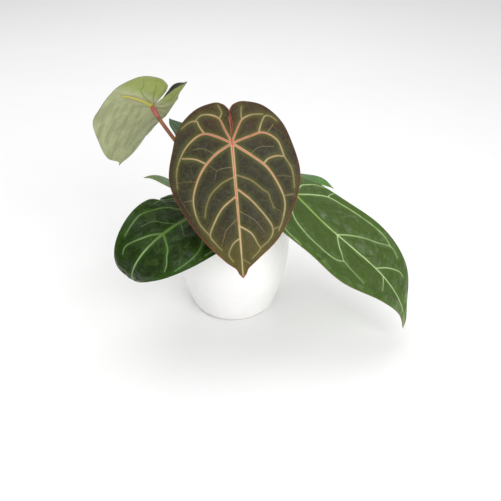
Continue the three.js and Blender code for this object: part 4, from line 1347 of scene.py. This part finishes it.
def make_perlite(settings, edge, random_numbers):
    """White grains."""
    grains = []
    for x, y in scatter(settings.perlite_grains, edge - 0.003, random_numbers):
        wide = settings.perlite_size * random_numbers.uniform(0.4, 1.0)
        size = (wide, wide * random_numbers.uniform(0.7, 1), wide * random_numbers.uniform(0.6, 1))
        grains.append(laid_crumb(size, x, y, 0.6, random_numbers, tilt=1.5))
    points, faces, _ = join(grains)
    white = solid_material(
        "perlite", settings.perlite, tinted(settings.perlite, 0.8), scale=500.0, roughness=0.9,
        bump_scale=2600.0, bump_depth=0.0004)
    add_piece("perlite_grains", points, faces, [white])


def make_fibres(settings, edge, random_numbers):
    """Bent coir fibres that lie on the bed."""
    thickness, clearance, steps, sides = 0.00022, 0.0016, 7, 5
    threads = []
    for x, y in scatter(settings.fibres, edge - 0.010, random_numbers):
        angle = random_numbers.uniform(0, math.tau)
        reach = random_numbers.uniform(0.004, 0.009)
        curve = random_numbers.uniform(-0.8, 0.8)
        path = []
        for step in range(steps + 1):
            walked = reach * (step / steps - 0.5) * 2
            turn = angle + curve * step / steps
            px, py = x + walked * math.cos(turn), y + walked * math.sin(turn)
            sway = 0.0008 * math.sin(step * 1.4)
            path.append((px, py, bed_height(px, py) + clearance + sway))
        threads.append(tube(path, [thickness] * len(path), sides))
    points, faces, _ = join(threads)
    coir = solid_material(
        "coir", srgb(138, 98, 62), srgb(96, 66, 42), scale=400.0, roughness=0.85,
        bump_scale=1500.0, bump_depth=0.0001)
    add_piece("coir_fibres", points, faces, [coir])


# The stem's parts, in metres

def dry_scale(turn, height, reach, width, lean):
    """Points and faces of one papery scale that stands against the stem, in metres."""
    rows, columns = 22, 8
    out = Vector((math.cos(turn), math.sin(turn), 0))
    sideways = Vector((-out.y, out.x, 0))
    stem_radius, thickness = 0.0085, 0.00035
    shells = []
    for offset in (0.0, thickness):
        for i in range(rows + 1):
            s = i / rows
            half = 0.5 * width * math.sin(math.pi * min(1, 0.25 + 0.75 * s)) ** 0.8 + 0.0002
            away = stem_radius + offset + lean * reach * s ** 2.2
            for j in range(columns + 1):
                across = (j / columns - 0.5) * 2
                curl = 0.35 * half * across ** 2 * (1 - 0.7 * s)
                ragged = 0.0006 * noise.noise(Vector((across * 3, s * 9, turn * 5)))
                shells.append(out * (away - curl + ragged) + sideways * across * half
                              + Vector((0, 0, height + reach * s * math.cos(0.6 * lean * s))))
    count = (rows + 1) * (columns + 1)
    faces = []
    for shell, flip in ((0, True), (count, False)):
        for i in range(rows):
            for j in range(columns):
                a = shell + i * (columns + 1) + j
                face = [a, a + 1, a + columns + 2, a + columns + 1]
                faces.append(face[::-1] if flip else face)
    border = [*range(columns),
              *(i * (columns + 1) + columns for i in range(rows)),
              *(rows * (columns + 1) + j for j in range(columns, 0, -1)),
              *(i * (columns + 1) for i in range(rows, 0, -1))]
    for a, b in zip(border, border[1:] + border[:1]):
        faces.append([a, b, b + count, a + count])
    return [tuple(point) for point in shells], faces


def root_stub(turn, reach):
    """Points and faces of one root that leaves the stem and dips into the mix."""
    level, start, thick, steps = 0.1145, 0.005, 0.0019, 24
    out = Vector((math.cos(math.radians(turn)), math.sin(math.radians(turn)), 0))
    path = []
    radii = []
    for step in range(steps + 1):
        s = step / steps
        height = level + 0.0012 * math.sin(s * 2.6) - 0.0075 * max(0, s - 0.35) ** 1.5
        path.append(out * (start + (reach + start) * s) + Vector((0, 0, height)))
        radii.append(thick * (1 - 0.35 * s) * math.sqrt(max(0.02, 1 - s ** 8)))
    return tube(path, radii, 16, lambda i, angle: 1 + 0.05 * math.sin(5 * angle + i))


# Operators

class PLANT_OT_ceramic_pot(bpy.types.Operator):
    """Builds the glazed ceramic pot."""

    bl_idname = "plant.ceramic_pot"
    bl_label = "Ceramic pot"

    def execute(self, context):
        settings = context.scene.plant_pots
        top_radius, height = POT_HIGH.x, POT_HIGH.z
        foot, wall = settings.foot_radius, settings.wall
        bevel, floor, corner = 0.0016, 0.008, 0.004
        recess, ring_top = 0.0012, 0.0011
        recess_edge, ring_inside = foot - 0.010, foot - 0.008
        outer_steps, inner_steps = 56, 30

        def radius_at(z):
            rest = 1 - min(1, z / settings.curve_height)
            return foot + (top_radius - foot) * (1 - rest ** 1.6)

        rim = 0.5 * wall
        profile = [(0, recess), (recess_edge, recess), (foot - 0.0085, 0.0002), (ring_inside, 0),
                   (foot - 2 * bevel, 0)]
        profile += arc((foot - 2 * bevel + 0.0006, bevel), bevel, -90, -20, 5)
        profile += [(radius_at(z), z) for z in
                    (bevel + (height - rim - bevel) * (i + 1) / outer_steps
                     for i in range(outer_steps))]
        profile += arc((top_radius - rim, height - rim), rim, 0, 180, 10)[1:]
        depth = height - rim - floor - corner
        profile += [(radius_at(z) - wall, z) for z in
                    (height - rim - depth * (i + 1) / inner_steps for i in range(inner_steps))]
        profile += [(radius_at(floor) - 2 * wall, floor), (0, floor)]
        points, faces = lathe(profile, 160)
        glaze = solid_material(
            "glazed_ceramic", settings.glaze, tinted(settings.glaze, 0.965), scale=28.0,
            roughness=0.32, bump_scale=55.0, bump_depth=0.00025, Coat_Weight=0.25,
            Coat_Roughness=0.18)
        clay = solid_material(
            "bare_clay", settings.clay, tinted(settings.clay, 0.85), scale=300.0, roughness=0.9,
            bump_scale=1800.0, bump_depth=0.0002)
        parts = [1 if max(points[i][2] for i in face) < ring_top else 0 for face in faces]
        add_piece("ceramic_pot", points, faces, [glaze, clay],
                  replaces=["decorative_pot"], parts=parts)
        return {"FINISHED"}


class PLANT_OT_grower_pot(bpy.types.Operator):
    """Builds the thin plastic pot with its rolled lip and drain holes."""

    bl_idname = "plant.grower_pot"
    bl_label = "Grower's pot"

    def execute(self, context):
        settings = context.scene.plant_pots
        wall = settings.plastic_wall
        low, top = LINER_LOW.z, LINER_HIGH.z
        foot_radius, lip, lip_height, lip_round = 0.045, 0.0015, 0.008, 0.0012
        outer_steps, inner_steps, rib = 14, 12, 0.0004
        body_radius = LINER_HIGH.x - lip

        def radius_at(z):
            return foot_radius + (body_radius - foot_radius) * (z - low) / (top - low)

        profile = [(0, low), (foot_radius - 0.001, low), (foot_radius, low + 0.001)]
        profile += [(radius_at(z) + (rib if i % 2 else 0), z) for i, z in enumerate(
            low + 0.004 + (top - lip_height - low - 0.006) * k / outer_steps
            for k in range(outer_steps + 1))]
        under_lip = top - lip_height
        profile += [(radius_at(under_lip), under_lip), (radius_at(under_lip) + lip, under_lip)]
        profile += arc((body_radius + lip - lip_round, top - lip_round), lip_round, 0, 90, 4)
        profile += [(body_radius - wall, top)]
        profile += [(radius_at(z) - wall, z) for z in
                    (top - (top - low - 2 * wall) * k / inner_steps
                     for k in range(1, inner_steps + 1))]
        profile += [(0, low + wall)]
        points, faces = lathe(profile, 96)
        plastic = solid_material(
            "black_plastic", settings.plastic, tinted(settings.plastic, 1.6), scale=60.0,
            roughness=0.5, bump_scale=900.0, bump_depth=0.00008)
        pot = add_piece("plastic_pot", points, faces, [plastic],
                        replaces=["grower_pot"], smooth=False)
        self.drill(pot, low)
        return {"FINISHED"}

    @staticmethod
    def drill(pot, floor):
        """Cuts the ring of drain holes through the pot's floor."""
        holes, hole_radius, ring_radius, depth = 6, 0.005, 0.032, 0.008
        drills = bpy.data.meshes.new("drills")
        tool = bmesh.new()
        for i in range(holes):
            made = bmesh.ops.create_cone(tool, cap_ends=True, segments=24, radius1=hole_radius,
                                         radius2=hole_radius, depth=depth)
            angle = i * math.tau / holes
            shift = Vector((ring_radius * math.cos(angle), ring_radius * math.sin(angle), floor))
            bmesh.ops.translate(tool, verts=made["verts"], vec=shift)
        tool.to_mesh(drills)
        tool.free()
        cutter = bpy.data.objects.new("drills", drills)
        bpy.context.scene.collection.objects.link(cutter)
        cut = pot.modifiers.new("drain holes", "BOOLEAN")
        cut.operation = "DIFFERENCE"
        cut.object = cutter
        bpy.context.view_layer.update()
        finished = bpy.data.meshes.new_from_object(
            pot.evaluated_get(bpy.context.evaluated_depsgraph_get()))
        pot.modifiers.clear()
        pot.data = finished
        bpy.data.objects.remove(cutter)


class PLANT_OT_potting_mix(bpy.types.Operator):
    """Builds the bed of mix and what lies loose on it."""

    bl_idname = "plant.potting_mix"
    bl_label = "Potting mix"

    def execute(self, context):
        settings = context.scene.plant_mix
        random_numbers = random.Random(11)
        edge = MIX_HIGH.x - 0.0006
        make_bed(settings, edge)
        make_bark(settings, edge, random_numbers)
        make_perlite(settings, edge, random_numbers)
        make_fibres(settings, edge, random_numbers)
        return {"FINISHED"}


class PLANT_OT_stem(bpy.types.Operator):
    """Builds the ringed stem, its root stubs and the dry scales of old leaves."""

    bl_idname = "plant.stem"
    bl_label = "Stem"

    def execute(self, context):
        settings = context.scene.plant_stem
        low, high = STEM_LOW.z, STEM_HIGH.z
        segments, rings = 64, 90
        thick, taper, scar_height, scar_phase = 0.009, 0.0058, 0.0005, 1150
        profile = [(0, low)]
        for i in range(rings + 1):
            s = i / rings
            height = low + (high - low) * s
            body = thick - taper * smooth_share(s, 0.55, 1.0)
            ringed = max(0, math.sin(height * scar_phase)) ** 3 * smooth_share(s, 0.5, 0.55)
            profile.append((body + scar_height * ringed, height))
        profile.append((0, high))
        points, faces = lathe(profile, segments)
        knobbly = []
        for point in points:
            place = Vector(point)
            push = 1 + 0.06 * noise.noise(place * 260) * (1 if place.z > low + 0.001 else 0)
            knobbly.append((place.x * push, place.y * push, place.z))
        bark = solid_material(
            "stem_bark", settings.bark, tinted(settings.bark, 0.55), scale=180.0, roughness=0.7,
            bump_scale=700.0, bump_depth=0.0006)
        add_piece("short_stem", knobbly, faces, [bark], replaces=["stem"])

        roots = [root_stub(turn, reach)
                 for turn, reach in ((-60, 0.013), (20, 0.015), (78, 0.012), (200, 0.014))]
        points, faces, _ = join(roots)
        root = solid_material(
            "root_skin", settings.root, tinted(settings.root, 0.7), scale=240.0, roughness=0.8,
            bump_scale=1200.0, bump_depth=0.0003)
        add_piece("root_stubs", points, faces, [root])

        count = 9
        scales = [dry_scale(
            turn=math.radians(35 + 360 * i / count), height=0.1125 + 0.0012 * (i % 4),
            reach=0.012 + 0.003 * (i % 3), width=0.0062, lean=0.22 + 0.05 * (i % 2))
            for i in range(count)]
        points, faces, _ = join(scales)
        paper = solid_material(
            "dry_scale", settings.scale, tinted(settings.scale, 0.55), scale=380.0,
            roughness=0.75, bump_scale=1400.0, bump_depth=0.0004)
        add_piece("dry_scales", points, faces, [paper])
        return {"FINISHED"}


class PLANT_OT_stalks(bpy.types.Operator):
    """Builds the seven leaf stalks."""

    bl_idname = "plant.stalks"
    bl_label = "Leaf stalks"

    def execute(self, context):
        settings = context.scene.plant_stem
        joint = tuple(settings.joint)
        red = stalk_material("stalk_red", tuple(settings.red), joint)
        green = stalk_material("stalk_green", tuple(settings.green), tinted(settings.green, 1.3))
        for name, leaf in LEAVES.items():
            reddish = name in ("front", "back_left")
            make_stalk(name, leaf, red if reddish else green)
        return {"FINISHED"}


class PLANT_OT_blades(bpy.types.Operator):
    """Builds the seven leaf blades."""

    bl_idname = "plant.blades"
    bl_label = "Leaf blades"

    def execute(self, context):
        for name, leaf in LEAVES.items():
            make_blade(name, leaf)
        return {"FINISHED"}


class PLANT_OT_stage(bpy.types.Operator):
    """Sets the floor, the light and the camera."""

    bl_idname = "plant.stage"
    bl_label = "Stage"

    def execute(self, context):
        settings = context.scene.plant_stage
        scene = context.scene
        mesh = bpy.data.meshes.new("floor")
        reach = 8.0
        mesh.from_pydata([(-reach, -reach, 0), (reach, -reach, 0), (reach, reach, 0),
                          (-reach, reach, 0)], [], [(0, 1, 2, 3)])
        floor = bpy.data.objects.new("floor", mesh)
        scene.collection.objects.link(floor)
        tone = tuple(settings.floor)
        mesh.materials.append(solid_material(
            "floor_paint", tone, tinted(tone, 0.985), scale=3.0, roughness=0.9, bump_scale=40.0,
            bump_depth=0.0001, Specular_IOR_Level=0.1))

        world = bpy.data.worlds.new("surround")
        world.use_nodes = True
        background = world.node_tree.nodes["Background"]
        background.inputs["Color"].default_value = (1, 1, 1, 1)
        background.inputs["Strength"].default_value = settings.sky
        scene.world = world

        self.add_light("key", (0.65, -1.15, 0.95), 1.1, settings.key)
        self.add_light("overhead", (-0.25, 0.45, 1.5), 1.6, settings.fill)

        data = bpy.data.cameras.new("camera")
        data.lens = settings.lens
        data.sensor_width = 36
        data.clip_start = 0.01
        camera = bpy.data.objects.new("camera", data)
        camera.location = (0.022, -0.658, 0.550)
        camera.rotation_euler = (math.pi / 2 - settings.pitch, 0, 0)
        scene.collection.objects.link(camera)
        scene.camera = camera
        scene.view_settings.view_transform = "Standard"
        return {"FINISHED"}

    @staticmethod
    def add_light(name, place, size, power):
        """A square soft light that faces the plant."""
        data = bpy.data.lights.new(name, "AREA")
        data.shape = "SQUARE"
        data.size = size
        data.energy = power
        light = bpy.data.objects.new(name, data)
        light.location = place
        aim = Vector((0, 0, 0.15)) - Vector(place)
        light.rotation_euler = aim.to_track_quat("-Z", "Y").to_euler()
        bpy.context.scene.collection.objects.link(light)


class PLANT_PT_panel(bpy.types.Panel):
    """Lists the settings and the operators."""

    bl_idname = "PLANT_PT_panel"
    bl_label = "Potted plant"
    bl_space_type = "VIEW_3D"
    bl_region_type = "UI"
    bl_category = "Plant"

    def draw(self, context):
        for key, kind in SETTINGS.items():
            box = self.layout.box()
            box.label(text=kind.__doc__.rstrip("."))
            for name in kind.__annotations__:
                box.prop(getattr(context.scene, key), name)
        for operator in OPERATORS:
            self.layout.operator(operator.bl_idname)


SETTINGS = {
    "plant_pots": PotSettings,
    "plant_mix": MixSettings,
    "plant_stem": StemSettings,
    "plant_blades": BladeSettings,
    "plant_stage": StageSettings,
}
OPERATORS = [PLANT_OT_stage, PLANT_OT_ceramic_pot, PLANT_OT_grower_pot, PLANT_OT_potting_mix,
             PLANT_OT_stem, PLANT_OT_stalks, PLANT_OT_blades]


def register():
    for item in [*SETTINGS.values(), *OPERATORS, PLANT_PT_panel]:
        bpy.utils.register_class(item)
    for key, kind in SETTINGS.items():
        setattr(bpy.types.Scene, key, bpy.props.PointerProperty(type=kind))


def unregister():
    for key in SETTINGS:
        delattr(bpy.types.Scene, key)
    for item in reversed([*SETTINGS.values(), *OPERATORS, PLANT_PT_panel]):
        bpy.utils.unregister_class(item)


def main():
    register()
    bpy.ops.plant.stage()
    bpy.ops.plant.ceramic_pot()
    bpy.ops.plant.grower_pot()
    bpy.ops.plant.potting_mix()
    bpy.ops.plant.stem()
    bpy.ops.plant.stalks()
    bpy.ops.plant.blades()


if __name__ == "__main__":
    main()
